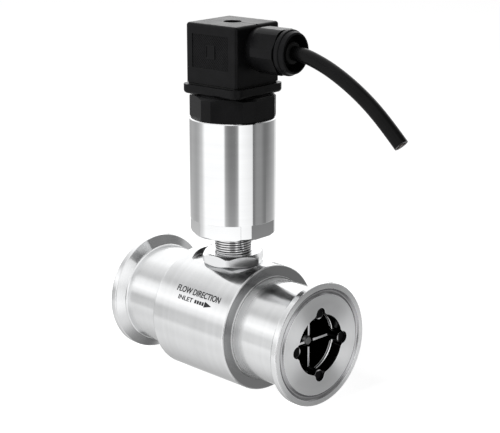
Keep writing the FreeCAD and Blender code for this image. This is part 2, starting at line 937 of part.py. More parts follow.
# Rotor shaft, running in the two bushes with end play at the thrust pads.
shaft = new_body("RotorShaft")
pad_face = guide_end - cell("bush_socket_depth") + cell("thrust_pad_thickness")
shaft_start = pad_face + cell("shaft_end_play")
shaft_stop = length - shaft_start
bevel = cell("shaft_chamfer")
revolve(
    shaft,
    "ShaftTurned",
    "XZ_Plane",
    "H_Axis",
    [
        (shaft_start, ZERO),
        (shaft_start, cell("shaft_radius") - bevel),
        (shaft_start + bevel, cell("shaft_radius")),
        (shaft_stop - bevel, cell("shaft_radius")),
        (shaft_stop, cell("shaft_radius") - bevel),
        (shaft_stop, ZERO),
    ],
)
keep(shaft, "rotor_shaft")

# Rotor: a hub with helical blades lofted through turned sections.
rotor = new_body("Rotor")
half_rotor = cell("rotor_length") / 2
rotor_start = half_length - half_rotor
rotor_stop = half_length + half_rotor
nose = cell("rotor_nose")
rotor_bore = cell("shaft_radius") + cell("rotor_bore_gap")
revolve(
    rotor,
    "RotorHub",
    "XZ_Plane",
    "H_Axis",
    [
        (rotor_start, rotor_bore),
        (rotor_start, cell("rotor_hub_radius") - nose),
        (rotor_start + nose, cell("rotor_hub_radius")),
        (rotor_stop - nose, cell("rotor_hub_radius")),
        (rotor_stop, cell("rotor_hub_radius") - nose),
        (rotor_stop, rotor_bore),
    ],
)
sections = []
for station in range(BLADE_SECTIONS):
    share = station / (BLADE_SECTIONS - 1)
    offset = half_length + cell("blade_length") * (share - 1 / 2)
    turn = cell("blade_twist") * (share - 1 / 2)
    section = new_sketch(rotor, f"BladeSection{station}", "YZ_Plane", offset)
    section.AttachmentOffset = FreeCAD.Placement(
        FreeCAD.Vector(0, 0, offset.value), FreeCAD.Rotation(Z_AXIS, turn.value)
    )
    section.setExpression("AttachmentOffset.Rotation.Angle", turn.text)
    half_blade = cell("blade_thickness") / 2
    draw_box(
        section,
        (-half_blade, cell("blade_root_radius")),
        (half_blade, cell("bore_radius") - cell("blade_tip_gap")),
    )
    sections.append(section)
doc.recompute()
blade = rotor.newObject("PartDesign::AdditiveLoft", "Blade")
blade.Profile = sections[0]
blade.Sections = sections[1:]
doc.recompute()
pattern(rotor, "BladeSet", [blade], (sections[0], ["N_Axis"]), cell("blade_count").value)
keep(rotor, "rotor")

# Pickup stem: a threaded sleeve with a thin closed floor above the bore.
stem = new_body("PickupStem")
chamfer = cell("stem_chamfer")
revolve(
    stem,
    "StemTurned",
    "XZ_Plane",
    "V_Axis",
    [
        (ZERO, stem_bottom),
        (cell("stem_radius") - chamfer, stem_bottom),
        (cell("stem_radius"), stem_bottom + chamfer),
        (cell("stem_radius"), stem_top - chamfer),
        (cell("stem_radius") - chamfer, stem_top),
        (cell("stem_cavity_radius"), stem_top),
        (cell("stem_cavity_radius"), stem_inside),
        (ZERO, stem_inside),
    ],
)
place_head(stem)
keep(stem, "pickup_stem")

# Lock nut: a hexagon whose corners are turned and bevelled on both faces.
nut = new_body("LockNut")
nut_top = cell("nut_height")
revolve(
    nut,
    "NutBlank",
    "XZ_Plane",
    "V_Axis",
    [
        (cell("nut_bore_radius"), ZERO),
        (cell("nut_face_radius"), ZERO),
        (cell("nut_corner_radius"), cell("nut_bevel")),
        (cell("nut_corner_radius"), nut_top - cell("nut_bevel")),
        (cell("nut_face_radius"), nut_top),
        (cell("nut_bore_radius"), nut_top),
    ],
)


def cut_flats(body, name, bottom, height, flats, first_angle):
    """Mills a hexagon out of a round blank over a stretch of its height."""
    sketch = new_sketch(body, f"{name}Sketch", "XY_Plane", bottom)
    draw_circle(sketch, (ZERO, ZERO), flats)
    draw_polygon(sketch, HEXAGON, hexagon_reach(flats), first_angle)
    return pocket(body, name, sketch, height, flip=True)


cut_flats(nut, "NutFlats", ZERO, cell("nut_height"), cell("nut_flats"), CORNER_ON_X)
place_head(nut)
keep(nut, "lock_nut")

# Coil bobbin, winding, pole piece and magnet inside the stem.
bobbin = new_body("CoilBobbin")
bobbin_low = stem_inside + cell("bobbin_lift")
bobbin_high = bobbin_low + cell("bobbin_length")
revolve(
    bobbin,
    "BobbinTurned",
    "XZ_Plane",
    "V_Axis",
    [
        (cell("bobbin_bore_radius"), bobbin_low),
        (cell("bobbin_flange_radius"), bobbin_low),
        (cell("bobbin_flange_radius"), bobbin_low + cell("bobbin_flange")),
        (cell("bobbin_tube_radius"), bobbin_low + cell("bobbin_flange")),
        (cell("bobbin_tube_radius"), bobbin_high - cell("bobbin_flange")),
        (cell("bobbin_flange_radius"), bobbin_high - cell("bobbin_flange")),
        (cell("bobbin_flange_radius"), bobbin_high),
        (cell("bobbin_bore_radius"), bobbin_high),
    ],
)
place_head(bobbin)
keep(bobbin, "coil_bobbin")

winding = new_body("CoilWinding")
wound_low = bobbin_low + cell("bobbin_flange") + cell("winding_gap")
wound_high = bobbin_high - cell("bobbin_flange") - cell("winding_gap")
wound_inner = cell("bobbin_tube_radius") + cell("winding_gap")
revolve(
    winding,
    "WindingTurned",
    "XZ_Plane",
    "V_Axis",
    [
        (wound_inner, wound_low),
        (cell("winding_radius"), wound_low),
        (cell("winding_radius"), wound_high),
        (wound_inner, wound_high),
    ],
)
place_head(winding)
keep(winding, "coil_winding")


def stand_cylinder(name, node, radius, bottom, height):
    """Makes a plain round piece on the pickup axis."""
    piece = doc.addObject("Part::Cylinder", name)
    bind(piece, "Radius", radius)
    bind(piece, "Height", height)
    place_head(piece, bottom)
    return keep(piece, node)


stand_cylinder(
    "PolePiece", "pole_piece", cell("pole_radius"), stem_inside, cell("pole_length")
)
stand_cylinder(
    "PickupMagnet",
    "pickup_magnet",
    cell("magnet_radius"),
    stem_inside + cell("pole_length"),
    cell("magnet_height"),
)

# Two coil leads that rise beside the magnet to the circuit board.
leads = new_body("PickupLeads")
lead_sketch = new_sketch(leads, "LeadSketch", "XY_Plane", bobbin_high)
draw_circle(lead_sketch, (cell("lead_offset"), ZERO), cell("lead_radius"))
draw_circle(lead_sketch, (-cell("lead_offset"), ZERO), cell("lead_radius"))
pad(leads, "Leads", lead_sketch, lead_top - bobbin_high)
place_head(leads)
keep(leads, "pickup_leads")

# Housing shell: a round can with a thick threaded floor and milled flats.
housing = new_body("HousingShell")
revolve(
    housing,
    "HousingTurned",
    "XZ_Plane",
    "V_Axis",
    [
        (cell("nut_bore_radius"), housing_bottom),
        (cell("housing_radius"), housing_bottom),
        (cell("housing_radius"), housing_top),
        (cell("housing_bore_radius"), housing_top),
        (cell("housing_bore_radius"), housing_floor),
        (cell("nut_bore_radius"), housing_floor),
    ],
)
dress(
    housing,
    "HousingBottomChamfer",
    "Chamfer",
    ring_edges(housing, Z_AXIS, [(housing_bottom, cell("housing_radius"))]),
    cell("housing_bottom_chamfer"),
)
dress(
    housing,
    "HousingTopChamfer",
    "Chamfer",
    ring_edges(housing, Z_AXIS, [(housing_top, cell("housing_radius"))]),
    cell("housing_top_chamfer"),
)
cut_flats(
    housing,
    "HousingFlats",
    housing_bottom,
    cell("housing_flats_height"),
    cell("housing_flats"),
    FLAT_ON_X + HOUSING_REST,
)
place_head(housing)
keep(housing, "housing_shell")

# Circuit board, standing on the stem, with its foot between the leads.
board = new_body("CircuitBoard")
half_width = cell("board_width") / 2
half_foot = cell("board_foot_width") / 2
board_foot = lead_top + cell("board_lead_gap")
board_shoulder = board_foot + cell("board_foot_height")
board_top = spigot_bottom - cell("board_top_gap")
board_sketch = new_sketch(board, "BoardSketch", "XZ_Plane")
draw_outline(
    board_sketch,
    [
        (-half_foot, board_foot),
        (half_foot, board_foot),
        (half_foot, board_shoulder),
        (half_width, board_shoulder),
        (half_width, board_top),
        (-half_width, board_top),
        (-half_width, board_shoulder),
        (-half_foot, board_shoulder),
    ],
)
pad(board, "BoardPlate", board_sketch, cell("board_thickness"), both=True)
place_head(board)
keep(board, "circuit_board")

# Board parts: a chip, a capacitor and the plug header.
board_face = cell("board_thickness") / 2
chip = new_body("AmplifierChip")
chip_half = cell("chip_side") / 2
chip_middle = housing_bottom + cell("chip_height")
chip_sketch = new_sketch(chip, "ChipSketch", "XZ_Plane", board_face)
draw_box(
    chip_sketch,
    (-chip_half, chip_middle - chip_half),
    (chip_half, chip_middle + chip_half),
)
pad(chip, "ChipBlock", chip_sketch, cell("chip_thickness"))
place_head(chip)
keep(chip, "amplifier_chip")

capacitor = new_body("SmoothingCapacitor")
can_sketch = new_sketch(capacitor, "CanSketch", "XZ_Plane", board_face)
can_middle = housing_bottom + cell("capacitor_height")
draw_circle(can_sketch, (-half_width / 2, can_middle), cell("capacitor_radius"))
pad(capacitor, "CapacitorCan", can_sketch, cell("capacitor_length"))
place_head(capacitor)
keep(capacitor, "smoothing_capacitor")

header = new_body("BoardHeader")
header_sketch = new_sketch(header, "HeaderSketch", "XZ_Plane", -board_face)
header_half = cell("header_width") / 2
header_bottom = board_top - cell("header_drop")
draw_box(
    header_sketch,
    (-header_half, header_bottom),
    (header_half, header_bottom + cell("header_height")),
)
pad(header, "HeaderBlock", header_sketch, cell("header_depth"), flip=True)
place_head(header)
keep(header, "board_header")

# Connector base: spigot, six-sided collar, square flange and pedestal.
base = new_body("ConnectorBase")
foot = cell("collar_chamfer")
groove_low = housing_top - cell("seal_groove_drop")
groove_high = groove_low + cell("seal_groove_width")
revolve(
    base,
    "BaseTurned",
    "XZ_Plane",
    "V_Axis",
    [
        (ZERO, cavity_roof),
        (cell("spigot_cavity_radius"), cavity_roof),
        (cell("spigot_cavity_radius"), spigot_bottom),
        (cell("spigot_radius"), spigot_bottom),
        (cell("spigot_radius"), groove_low),
        (cell("seal_groove_radius"), groove_low),
        (cell("seal_groove_radius"), groove_high),
        (cell("spigot_radius"), groove_high),
        (cell("spigot_radius"), housing_top),
        (cell("collar_foot_radius"), housing_top),
        (cell("collar_corners") / 2 + foot, housing_top + foot + foot),
        (cell("collar_corners") / 2 + foot, collar_top - cell("collar_top_chamfer")),
        (cell("collar_foot_radius") - foot, collar_top),
        (cell("flange_neck_radius"), collar_top),
        (cell("flange_neck_radius"), flange_bottom + over),
        (ZERO, flange_bottom + over),
    ],
)
cut_flats(
    base,
    "CollarFlats",
    housing_top,
    collar_top - housing_top,
    cell("collar_flats"),
    FLAT_ON_X + COLLAR_REST,
)
cut_flats(
    base,
    "CollarCorners",
    housing_top,
    collar_top - housing_top,
    cell("collar_corners"),
    CORNER_ON_X + COLLAR_REST,
)
flange_sketch = new_sketch(base, "FlangeSketch", "XY_Plane", flange_bottom)
draw_square(flange_sketch, cell("flange_side"))
pad(base, "Flange", flange_sketch, cell("flange_thickness"))
flange_half = CELLS["flange_side"] / 2


def at_flange_corner(middle):
    """Tells whether an upright edge is a corner of the flange."""
    return abs(abs(middle.x) - flange_half) < CLOSE and abs(abs(middle.y) - flange_half) < CLOSE


dress(
    base,
    "FlangeCorners",
    "Fillet",
    straight_edges(base, Z_AXIS, at_flange_corner),
    cell("flange_corner"),
)


def outer_level_edges(body, height, reach):
    """Finds edges at one height that lie on a square outline or its corners."""
    found = []
    for index, edge in enumerate(body.Shape.Edges, start=1):
        box = edge.BoundBox
        level = abs(box.ZMin - height.value) < CLOSE and abs(box.ZMax - height.value) < CLOSE
        widest = max(abs(box.XMin), abs(box.XMax), abs(box.YMin), abs(box.YMax))
        if level and abs(widest - reach) < CLOSE:
            found.append(f"Edge{index}")
    return found


dress(
    base,
    "FlangeBevel",
    "Fillet",
    outer_level_edges(base, flange_bottom, flange_half),
    cell("flange_bevel"),
)
pedestal_sketch = new_sketch(base, "PedestalSketch", "XY_Plane", flange_top)
draw_square(pedestal_sketch, cell("pedestal_side"))
pad(base, "Pedestal", pedestal_sketch, cell("pedestal_height"))
pedestal_half = CELLS["pedestal_side"] / 2


def at_pedestal_corner(middle):
    """Tells whether an upright edge is a corner of the pedestal."""
    near_x = abs(abs(middle.x) - pedestal_half) < CLOSE
    return near_x and abs(abs(middle.y) - pedestal_half) < CLOSE


dress(
    base,
    "PedestalCorners",
    "Fillet",
    straight_edges(base, Z_AXIS, at_pedestal_corner),
    cell("pedestal_corner"),
)
screw_hole_bottom = cavity_roof + cell("screw_hole_floor")
nut_hole = new_sketch(base, "ScrewHoleSketch", "XY_Plane", pedestal_top)
draw_circle(nut_hole, (ZERO, ZERO), cell("screw_hole_radius"))
pocket(base, "ScrewHole", nut_hole, pedestal_top - screw_hole_bottom)
slot_sketch = new_sketch(base, "BladeSlotSketch", "XY_Plane", pedestal_top)
contact_half = cell("contact_width") / 2
contact_thin = cell("contact_thickness") / 2
slot_gap = cell("contact_slot_gap")
contact_out = cell("contact_offset")
draw_box(
    slot_sketch,
    (-contact_half - slot_gap, contact_out - contact_thin - slot_gap),
    (contact_half + slot_gap, contact_out + contact_thin + slot_gap),
)
slot_cut = pocket(
    base, "BladeSlot", slot_sketch, pedestal_top - cavity_roof + over
)
pattern(base, "BladeSlots", [slot_cut], (slot_sketch, ["N_Axis"]), SQUARE)
place_head(base)
keep(base, "connector_base")

# Seal ring between the base spigot and the housing.
seal = doc.addObject("Part::Torus", "HousingSeal")
bind(seal, "Radius1", cell("seal_major_radius"))
bind(seal, "Radius2", cell("seal_minor_radius"))
place_head(seal, groove_low + cell("seal_groove_width") / 2)
keep(seal, "housing_seal_ring")

# Four flat contact blades.
contacts = new_body("ContactBlades")
contact_bottom = cavity_roof - cell("contact_tail")
contact_top = block_top - cell("contact_top_gap")
contact_sketch = new_sketch(contacts, "ContactSketch", "XY_Plane", contact_bottom)
draw_box(
    contact_sketch,
    (-contact_half, contact_out - contact_thin),
    (contact_half, contact_out + contact_thin),
)
contact = pad(contacts, "ContactBlade", contact_sketch, contact_top - contact_bottom)
pattern(contacts, "ContactSet", [contact], (contact_sketch, ["N_Axis"]), SQUARE)
dress(
    contacts,
    "ContactTips",
    "Chamfer",
    level_edges(contacts, contact_top),
    cell("contact_tip_bevel"),
)
place_head(contacts)
keep(contacts, "contact_blades")

# Flat gasket under the cap.
gasket = new_body("PlugGasket")
gasket_sketch = new_sketch(gasket, "GasketSketch", "XY_Plane", flange_top)
draw_square(gasket_sketch, cell("gasket_side"))
draw_square(gasket_sketch, cell("gasket_opening"))
pad(gasket, "GasketSheet", gasket_sketch, cell("gasket_thickness"))
gasket_half = CELLS["gasket_side"] / 2


def at_gasket_corner(middle):
    """Tells whether an upright edge is an outer corner of the gasket."""
    return abs(abs(middle.x) - gasket_half) < CLOSE and abs(abs(middle.y) - gasket_half) < CLOSE


dress(
    gasket,
    "GasketCorners",
    "Fillet",
    straight_edges(gasket, Z_AXIS, at_gasket_corner),
    cell("gasket_corner"),
)
place_head(gasket)
keep(gasket, "plug_gasket")

# Plug cap: a square moulding with a side boss for the gland.
cap = new_body("PlugCap")
cap_sketch = new_sketch(cap, "CapSketch", "XY_Plane", cap_bottom)
draw_square(cap_sketch, cell("cap_side"))
pad(cap, "CapBlock", cap_sketch, cell("cap_height"))
cap_half = CELLS["cap_side"] / 2


def at_cap_corner(middle):
    """Tells whether an upright edge is a corner of the cap."""
    return abs(abs(middle.x) - cap_half) < CLOSE and abs(abs(middle.y) - cap_half) < CLOSE


dress(
    cap,
    "CapCorners",
    "Fillet",
    straight_edges(cap, Z_AXIS, at_cap_corner),
    cell("cap_corner_round"),
)
dress(cap, "CapTopRound", "Fillet", level_edges(cap, cap_top), cell("cap_top_round"))
boss_sketch = new_sketch(cap, "BossSketch", "YZ_Plane", cell("cap_side") / 2 - over)
draw_circle(boss_sketch, (ZERO, gland_axis), cell("boss_radius"))
pad(cap, "Boss", boss_sketch, cell("boss_end") - cell("cap_side") / 2 + over)
neck_sketch = new_sketch(cap, "NeckSketch", "YZ_Plane", cell("boss_end"))
draw_circle(neck_sketch, (ZERO, gland_axis), cell("neck_radius"))
pad(cap, "Neck", neck_sketch, cell("neck_end") - cell("boss_end"))
cavity_sketch = new_sketch(cap, "CavitySketch", "XY_Plane", cap_bottom)
draw_square(cavity_sketch, cell("cap_cavity_side"))
pocket(cap, "Cavity", cavity_sketch, cell("cap_cavity_height"), flip=True)
bore_sketch = new_sketch(cap, "NeckBoreSketch", "YZ_Plane", cell("neck_end"))
draw_circle(bore_sketch, (ZERO, gland_axis), cell("neck_bore_radius"))
pocket(cap, "NeckBore", bore_sketch, cell("neck_end") - cell("neck_bore_start"))
entry_sketch = new_sketch(cap, "EntrySketch", "YZ_Plane", cell("neck_end"))
draw_circle(entry_sketch, (ZERO, gland_axis), cell("entry_radius"))
pocket(cap, "Entry", entry_sketch, cell("neck_end") - cell("cap_cavity_side") / 2 + over)
well_sketch = new_sketch(cap, "WellSketch", "XY_Plane", cap_top)
draw_circle(well_sketch, (ZERO, ZERO), cell("screw_well_radius"))
pocket(cap, "Well", well_sketch, cell("screw_well_depth"))
through_sketch = new_sketch(cap, "ThroughSketch", "XY_Plane", cap_top)
draw_circle(through_sketch, (ZERO, ZERO), cell("cap_screw_hole_radius"))
pocket(cap, "Through", through_sketch, cap_top - cavity_top + over)

# Sunk side panels, with a small blank frame in the middle of each.
panel_low = cell("panel_shift") - cell("panel_width") / 2
panel_high = cell("panel_shift") + cell("panel_width") / 2
panel_bottom = cap_bottom + cell("panel_bottom")
panel_top = cap_bottom + cell("panel_top")
badge_middle = (panel_bottom + panel_top) / 2
badge_half = cell("badge_width") / 2
badge_tall = cell("badge_height") / 2
wall = cell("badge_wall")
for side, offset, flip in (
    ("Front", cell("cap_side") / 2, False),
    ("Back", -(cell("cap_side") / 2), True),
):
    panel_sketch = new_sketch(cap, f"{side}PanelSketch", "XZ_Plane", offset)
    draw_box(panel_sketch, (panel_low, panel_bottom), (panel_high, panel_top))
    draw_box(
        panel_sketch,
        (cell("panel_shift") - badge_half, badge_middle - badge_tall),
        (cell("panel_shift") + badge_half, badge_middle + badge_tall),
    )
    pocket(cap, f"{side}Panel", panel_sketch, cell("panel_depth"), flip=flip)
    frame_sketch = new_sketch(cap, f"{side}FrameSketch", "XZ_Plane", offset)
    draw_box(
        frame_sketch,
        (cell("panel_shift") - badge_half + wall, badge_middle - badge_tall + wall),
        (cell("panel_shift") + badge_half - wall, badge_middle + badge_tall - wall),
    )
    pocket(cap, f"{side}Frame", frame_sketch, cell("badge_depth"), flip=flip)

# Parting groove on top, with a small notch above the gland.
parting_sketch = new_sketch(cap, "PartingSketch", "XY_Plane", cap_top)
half_parting = cell("parting_width") / 2
notch_half = cell("parting_notch_width") / 2
edge = cell("cap_side") / 2 + cell("parting_overlap")
parting_start = cell("screw_well_radius") - cell("parting_overlap")
notch_from = cell("cap_side") / 2 - cell("parting_notch_length")
draw_outline(
    parting_sketch,
    [
        (parting_start, -half_parting),
        (notch_from, -half_parting),
        (edge, -notch_half),
        (edge, notch_half),
        (notch_from, half_parting),
        (parting_start, half_parting),
    ],
)
pocket(cap, "Parting", parting_sketch, cell("parting_depth"))
place_head(cap)
keep(cap, "plug_cap")

# Terminal block inside the cap, with sockets for the blades.
block = new_body("TerminalBlock")
block_sketch = new_sketch(block, "BlockSketch", "XY_Plane", block_bottom)
draw_square(block_sketch, cell("block_side"))
pad(block, "BlockBody", block_sketch, cell("block_height"))
block_half = CELLS["block_side"] / 2


def at_block_corner(middle):
    """Tells whether an upright edge is an outer corner of the block."""
    return abs(abs(middle.x) - block_half) < CLOSE and abs(abs(middle.y) - block_half) < CLOSE


dress(
    block,
    "BlockCorners",
    "Fillet",
    straight_edges(block, Z_AXIS, at_block_corner),
    cell("block_corner"),
)
block_hole = new_sketch(block, "BlockHoleSketch", "XY_Plane", block_top)
draw_circle(block_hole, (ZERO, ZERO), cell("cap_screw_hole_radius"))
pocket(block, "BlockHole", block_hole, cell("block_height") + over)
screw_holes = new_sketch(block, "TerminalHoleSketch", "XY_Plane", block_top)
terminal_out = cell("terminal_offset")
for x_side in (terminal_out, -terminal_out):
    for y_side in (terminal_out, -terminal_out):
        draw_circle(screw_holes, (x_side, y_side), cell("terminal_hole_radius"))
pocket(block, "TerminalHoles", screw_holes, cell("terminal_hole_depth"))
socket_sketch = new_sketch(block, "SocketSketch", "XY_Plane", block_top)
socket_half = cell("block_slot_width") / 2
socket_thin = cell("block_slot_thickness") / 2
draw_box(
    socket_sketch,
    (-socket_half, contact_out - socket_thin),
    (socket_half, contact_out + socket_thin),
)
socket_cut = pocket(block, "Socket", socket_sketch, cell("block_height") + over)
pattern(block, "Sockets", [socket_cut], (socket_sketch, ["N_Axis"]), SQUARE)
place_head(block)
keep(block, "terminal_block")

# Four terminal screws.
terminals = new_body("TerminalScrews")
shank_sketch = new_sketch(terminals, "ShankSketch", "XY_Plane", block_top)
head_sketch = new_sketch(terminals, "HeadSketch", "XY_Plane", block_top)
for x_side in (terminal_out, -terminal_out):
    for y_side in (terminal_out, -terminal_out):
        draw_circle(shank_sketch, (x_side, y_side), cell("terminal_shank_radius"))
        draw_circle(head_sketch, (x_side, y_side), cell("terminal_head_radius"))
pad(terminals, "Heads", head_sketch, cell("terminal_head_height"))
shank = cell("terminal_hole_depth") - cell("terminal_end_gap")
pad(terminals, "Shanks", shank_sketch, shank, flip=True)
head_top = block_top + cell("terminal_head_height")
drive_sketch = new_sketch(terminals, "DriveSketch", "XY_Plane", head_top)
half_drive = cell("terminal_slot_width") / 2
across = cell("terminal_offset") + cell("terminal_head_radius") + over
for y_side in (terminal_out, -terminal_out):
    draw_box(drive_sketch, (-across, y_side - half_drive), (across, y_side + half_drive))
pocket(terminals, "Drives", drive_sketch, cell("terminal_slot_depth"))
place_head(terminals)
keep(terminals, "terminal_screws")

# Washer and long fixing screw through the middle of the plug.
washer = new_body("ScrewWasher")
washer_sketch = new_sketch(washer, "WasherSketch", "XY_Plane", well_floor)
draw_circle(washer_sketch, (ZERO, ZERO), cell("washer_radius"))
draw_circle(washer_sketch, (ZERO, ZERO), cell("washer_hole_radius"))
pad(washer, "WasherDisc", washer_sketch, cell("washer_thickness"))
place_head(washer)
keep(washer, "screw_washer")

screw = new_body("FixingScrew")
head_bottom = well_floor + cell("washer_thickness")
screw_top = head_bottom + cell("screw_head_height")
point = cell("screw_point")
head_bevel = cell("screw_head_bevel")
screw_tip = screw_hole_bottom + cell("screw_end_gap")
revolve(
    screw,
    "ScrewTurned",
    "XZ_Plane",
    "V_Axis",
    [
        (ZERO, screw_tip),
        (cell("screw_radius") - point, screw_tip),
        (cell("screw_radius"), screw_tip + point),
        (cell("screw_radius"), head_bottom),
        (cell("screw_head_radius"), head_bottom),
        (cell("screw_head_radius"), screw_top - head_bevel),
        (cell("screw_head_radius") - head_bevel, screw_top),
        (ZERO, screw_top),
    ],
)
slot_sketch = new_sketch(screw, "ScrewSlotSketch", "XY_Plane", screw_top)
half_slot = cell("screw_slot_width") / 2
slot_reach = cell("screw_head_radius") + over
draw_box(slot_sketch, (-slot_reach, -half_slot), (slot_reach, half_slot))
pocket(screw, "ScrewSlot", slot_sketch, cell("screw_slot_depth"))
place_head(screw)
keep(screw, "fixing_screw")


def revolve_gland(body, name, points):
    """Turns a profile about the gland axis, given stations and radii from it."""
    sketch = new_sketch(body, f"{name}_profile", "XZ_Plane")
    draw_outline(sketch, [(x, radius) for x, radius in points])
    feature = body.newObject("PartDesign::Revolution", name)
    feature.Profile = sketch
    feature.ReferenceAxis = (sketch, ["H_Axis"])
    feature.Angle = FULL_TURN
    return settle(feature)


def place_gland(piece):
    """Puts a piece made about X onto the gland axis, turned with the head."""
    place_head(piece, gland_axis)


# Gland seal, washer and nut.
grommet = new_body("GlandSeal")
seal_bore = cell("cable_radius") + cell("seal_cable_gap")
nose_bevel = cell("seal_nose_bevel")
revolve_gland(
    grommet,
    "SealTurned",
    [
        (cell("seal_start"), seal_bore),
        (cell("seal_end"), seal_bore),
        (cell("seal_end"), cell("seal_nose_radius") - nose_bevel),
        (cell("seal_end") - nose_bevel, cell("seal_nose_radius")),
        (cell("seal_shoulder"), cell("seal_nose_radius")),
        (cell("seal_shoulder"), cell("seal_outer_radius")),
        (cell("seal_start"), cell("seal_outer_radius")),
    ],
)
place_gland(grommet)
keep(grommet, "gland_seal")

slip = new_body("GlandWasher")
revolve_gland(
    slip,
    "SlipTurned",
    [
        (cell("seal_shoulder"), cell("gland_washer_hole")),
        (cell("seal_shoulder"), cell("gland_washer_radius")),
        (cell("seal_shoulder") + cell("gland_washer_thickness"), cell("gland_washer_radius")),
        (cell("seal_shoulder") + cell("gland_washer_thickness"), cell("gland_washer_hole")),
    ],
)
place_gland(slip)
keep(slip, "gland_washer")

gland = new_body("GlandNut")
gland_bevel = cell("gland_start_bevel")
flare = cell("gland_mouth_flare")
revolve_gland(
    gland,
    "GlandTurned",
    [
        (cell("gland_start"), cell("gland_thread_radius")),
        (cell("gland_start"), cell("gland_corner_radius") - gland_bevel),
        (cell("gland_start") + gland_bevel, cell("gland_corner_radius")),
        (cell("gland_flats_end"), cell("gland_corner_radius")),
        (cell("gland_flats_end"), cell("gland_groove_radius")),
        (cell("gland_groove_end"), cell("gland_groove_radius")),
        (cell("gland_groove_end"), cell("gland_collar_radius")),
        (cell("gland_bead_end"), cell("gland_collar_radius")),
        (cell("gland_bead_end"), cell("gland_dome_back")),
        (cell("gland_end"), cell("gland_dome_front")),
        (cell("gland_end"), cell("gland_mouth_radius") + flare),
        (cell("gland_lip_end"), cell("gland_mouth_radius") - flare),
        (cell("gland_lip_end"), cell("gland_lip_radius")),
        (cell("gland_lip_start"), cell("gland_lip_radius")),
        (cell("gland_lip_start"), cell("gland_seat_radius")),
        (cell("seal_shoulder"), cell("gland_seat_radius")),
        (cell("seal_shoulder"), cell("gland_thread_radius")),
    ],
)
dress(
    gland,
    "GlandRim",
    "Fillet",
    ring_edges(
        gland,
        X_AXIS,
        [
            (cell("gland_groove_end"), cell("gland_collar_radius")),
            (cell("gland_bead_end"), cell("gland_collar_radius")),
            (cell("gland_end"), cell("gland_dome_front")),
        ],
    ),
    cell("gland_rim_round"),
)
flats_sketch = new_sketch(gland, "GlandFlatsSketch", "YZ_Plane", cell("gland_start"))
draw_circle(flats_sketch, (ZERO, ZERO), cell("gland_flats"))
draw_polygon(flats_sketch, HEXAGON, hexagon_reach(cell("gland_flats")), CORNER_ON_X)
pocket(
    gland, "GlandFlats", flats_sketch, cell("gland_flats_end") - cell("gland_start"), flip=True
)
place_gland(gland)
keep(gland, "gland_nut")

# Cable inside the cap and gland, up to where the free cable starts.
tail = new_body("CableTail")
tail_sketch = new_sketch(tail, "TailSketch", "YZ_Plane", cell("tail_start"))
draw_circle(tail_sketch, (ZERO, ZERO), cell("cable_radius"))
pad(tail, "TailRod", tail_sketch, cell("tail_end") - cell("tail_start"))
place_gland(tail)
keep(tail, "cable_tail")

# Place of the gland axis, for the pieces that follow a route.
gland_place = FreeCAD.Placement(
    FreeCAD.Vector(half_length.value, 0, (spot_face + gland_axis).value),
    FreeCAD.Rotation(Z_AXIS, CELLS["head_turn"]),
)

# Free cable: straight runs joined by tangent arcs.
route_points = [FreeCAD.Vector(*point) for point in CABLE_ROUTE]
cable = doc.addObject("Part::Feature", "Cable")
cable.Shape = tube_along(route_points, float(sheet.cable_radius), "cable")
cable.Placement = gland_place
keep(cable, "cable")
print("cable route", [tuple(round(c, 3) for c in gland_place.multVec(p)) for p in route_points])

# Three cores from the jacket end to the terminal screws.
cores = doc.addObject("Part::Feature", "CableCores")
cores.Shape = Part.makeCompound(
    [
        tube_along([FreeCAD.Vector(*point) for point in route], float(sheet.core_radius), "core")
        for route in CORE_ROUTES
    ]
)
cores.Placement = gland_place
keep(cores, "cable_cores")

doc.recompute()

# Every object must have rebuilt cleanly before anything is written.
for item in doc.Objects:
    if "Invalid" in item.State or "Error" in item.State:
        raise ValueError(f"{item.Name} failed: {item.State}")
for node, piece in PARTS:
    if piece.Shape.isNull() or not piece.Shape.isValid():
        raise ValueError(f"{node} has no valid shape")
    if not piece.Shape.Solids:
        raise ValueError(f"{node} has no solid")

os.makedirs("parts", exist_ok=True)
for node, piece in PARTS:
    piece.Shape.exportStep(f"parts/{node}.step")
    box = piece.Shape.BoundBox
    print(
        f"{node:22s} solids {len(piece.Shape.Solids)} volume {piece.Shape.Volume:9.1f}",
        f"x {box.XMin:7.2f} {box.XMax:7.2f} y {box.YMin:7.2f} {box.YMax:7.2f}",
        f"z {box.ZMin:7.2f} {box.ZMax:7.2f}",
    )
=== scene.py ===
import logging
import math
from dataclasses import dataclass
from enum import Enum
from functools import partial
from typing import Callable, ClassVar, Sequence

import bpy
from mathutils import Matrix, Vector


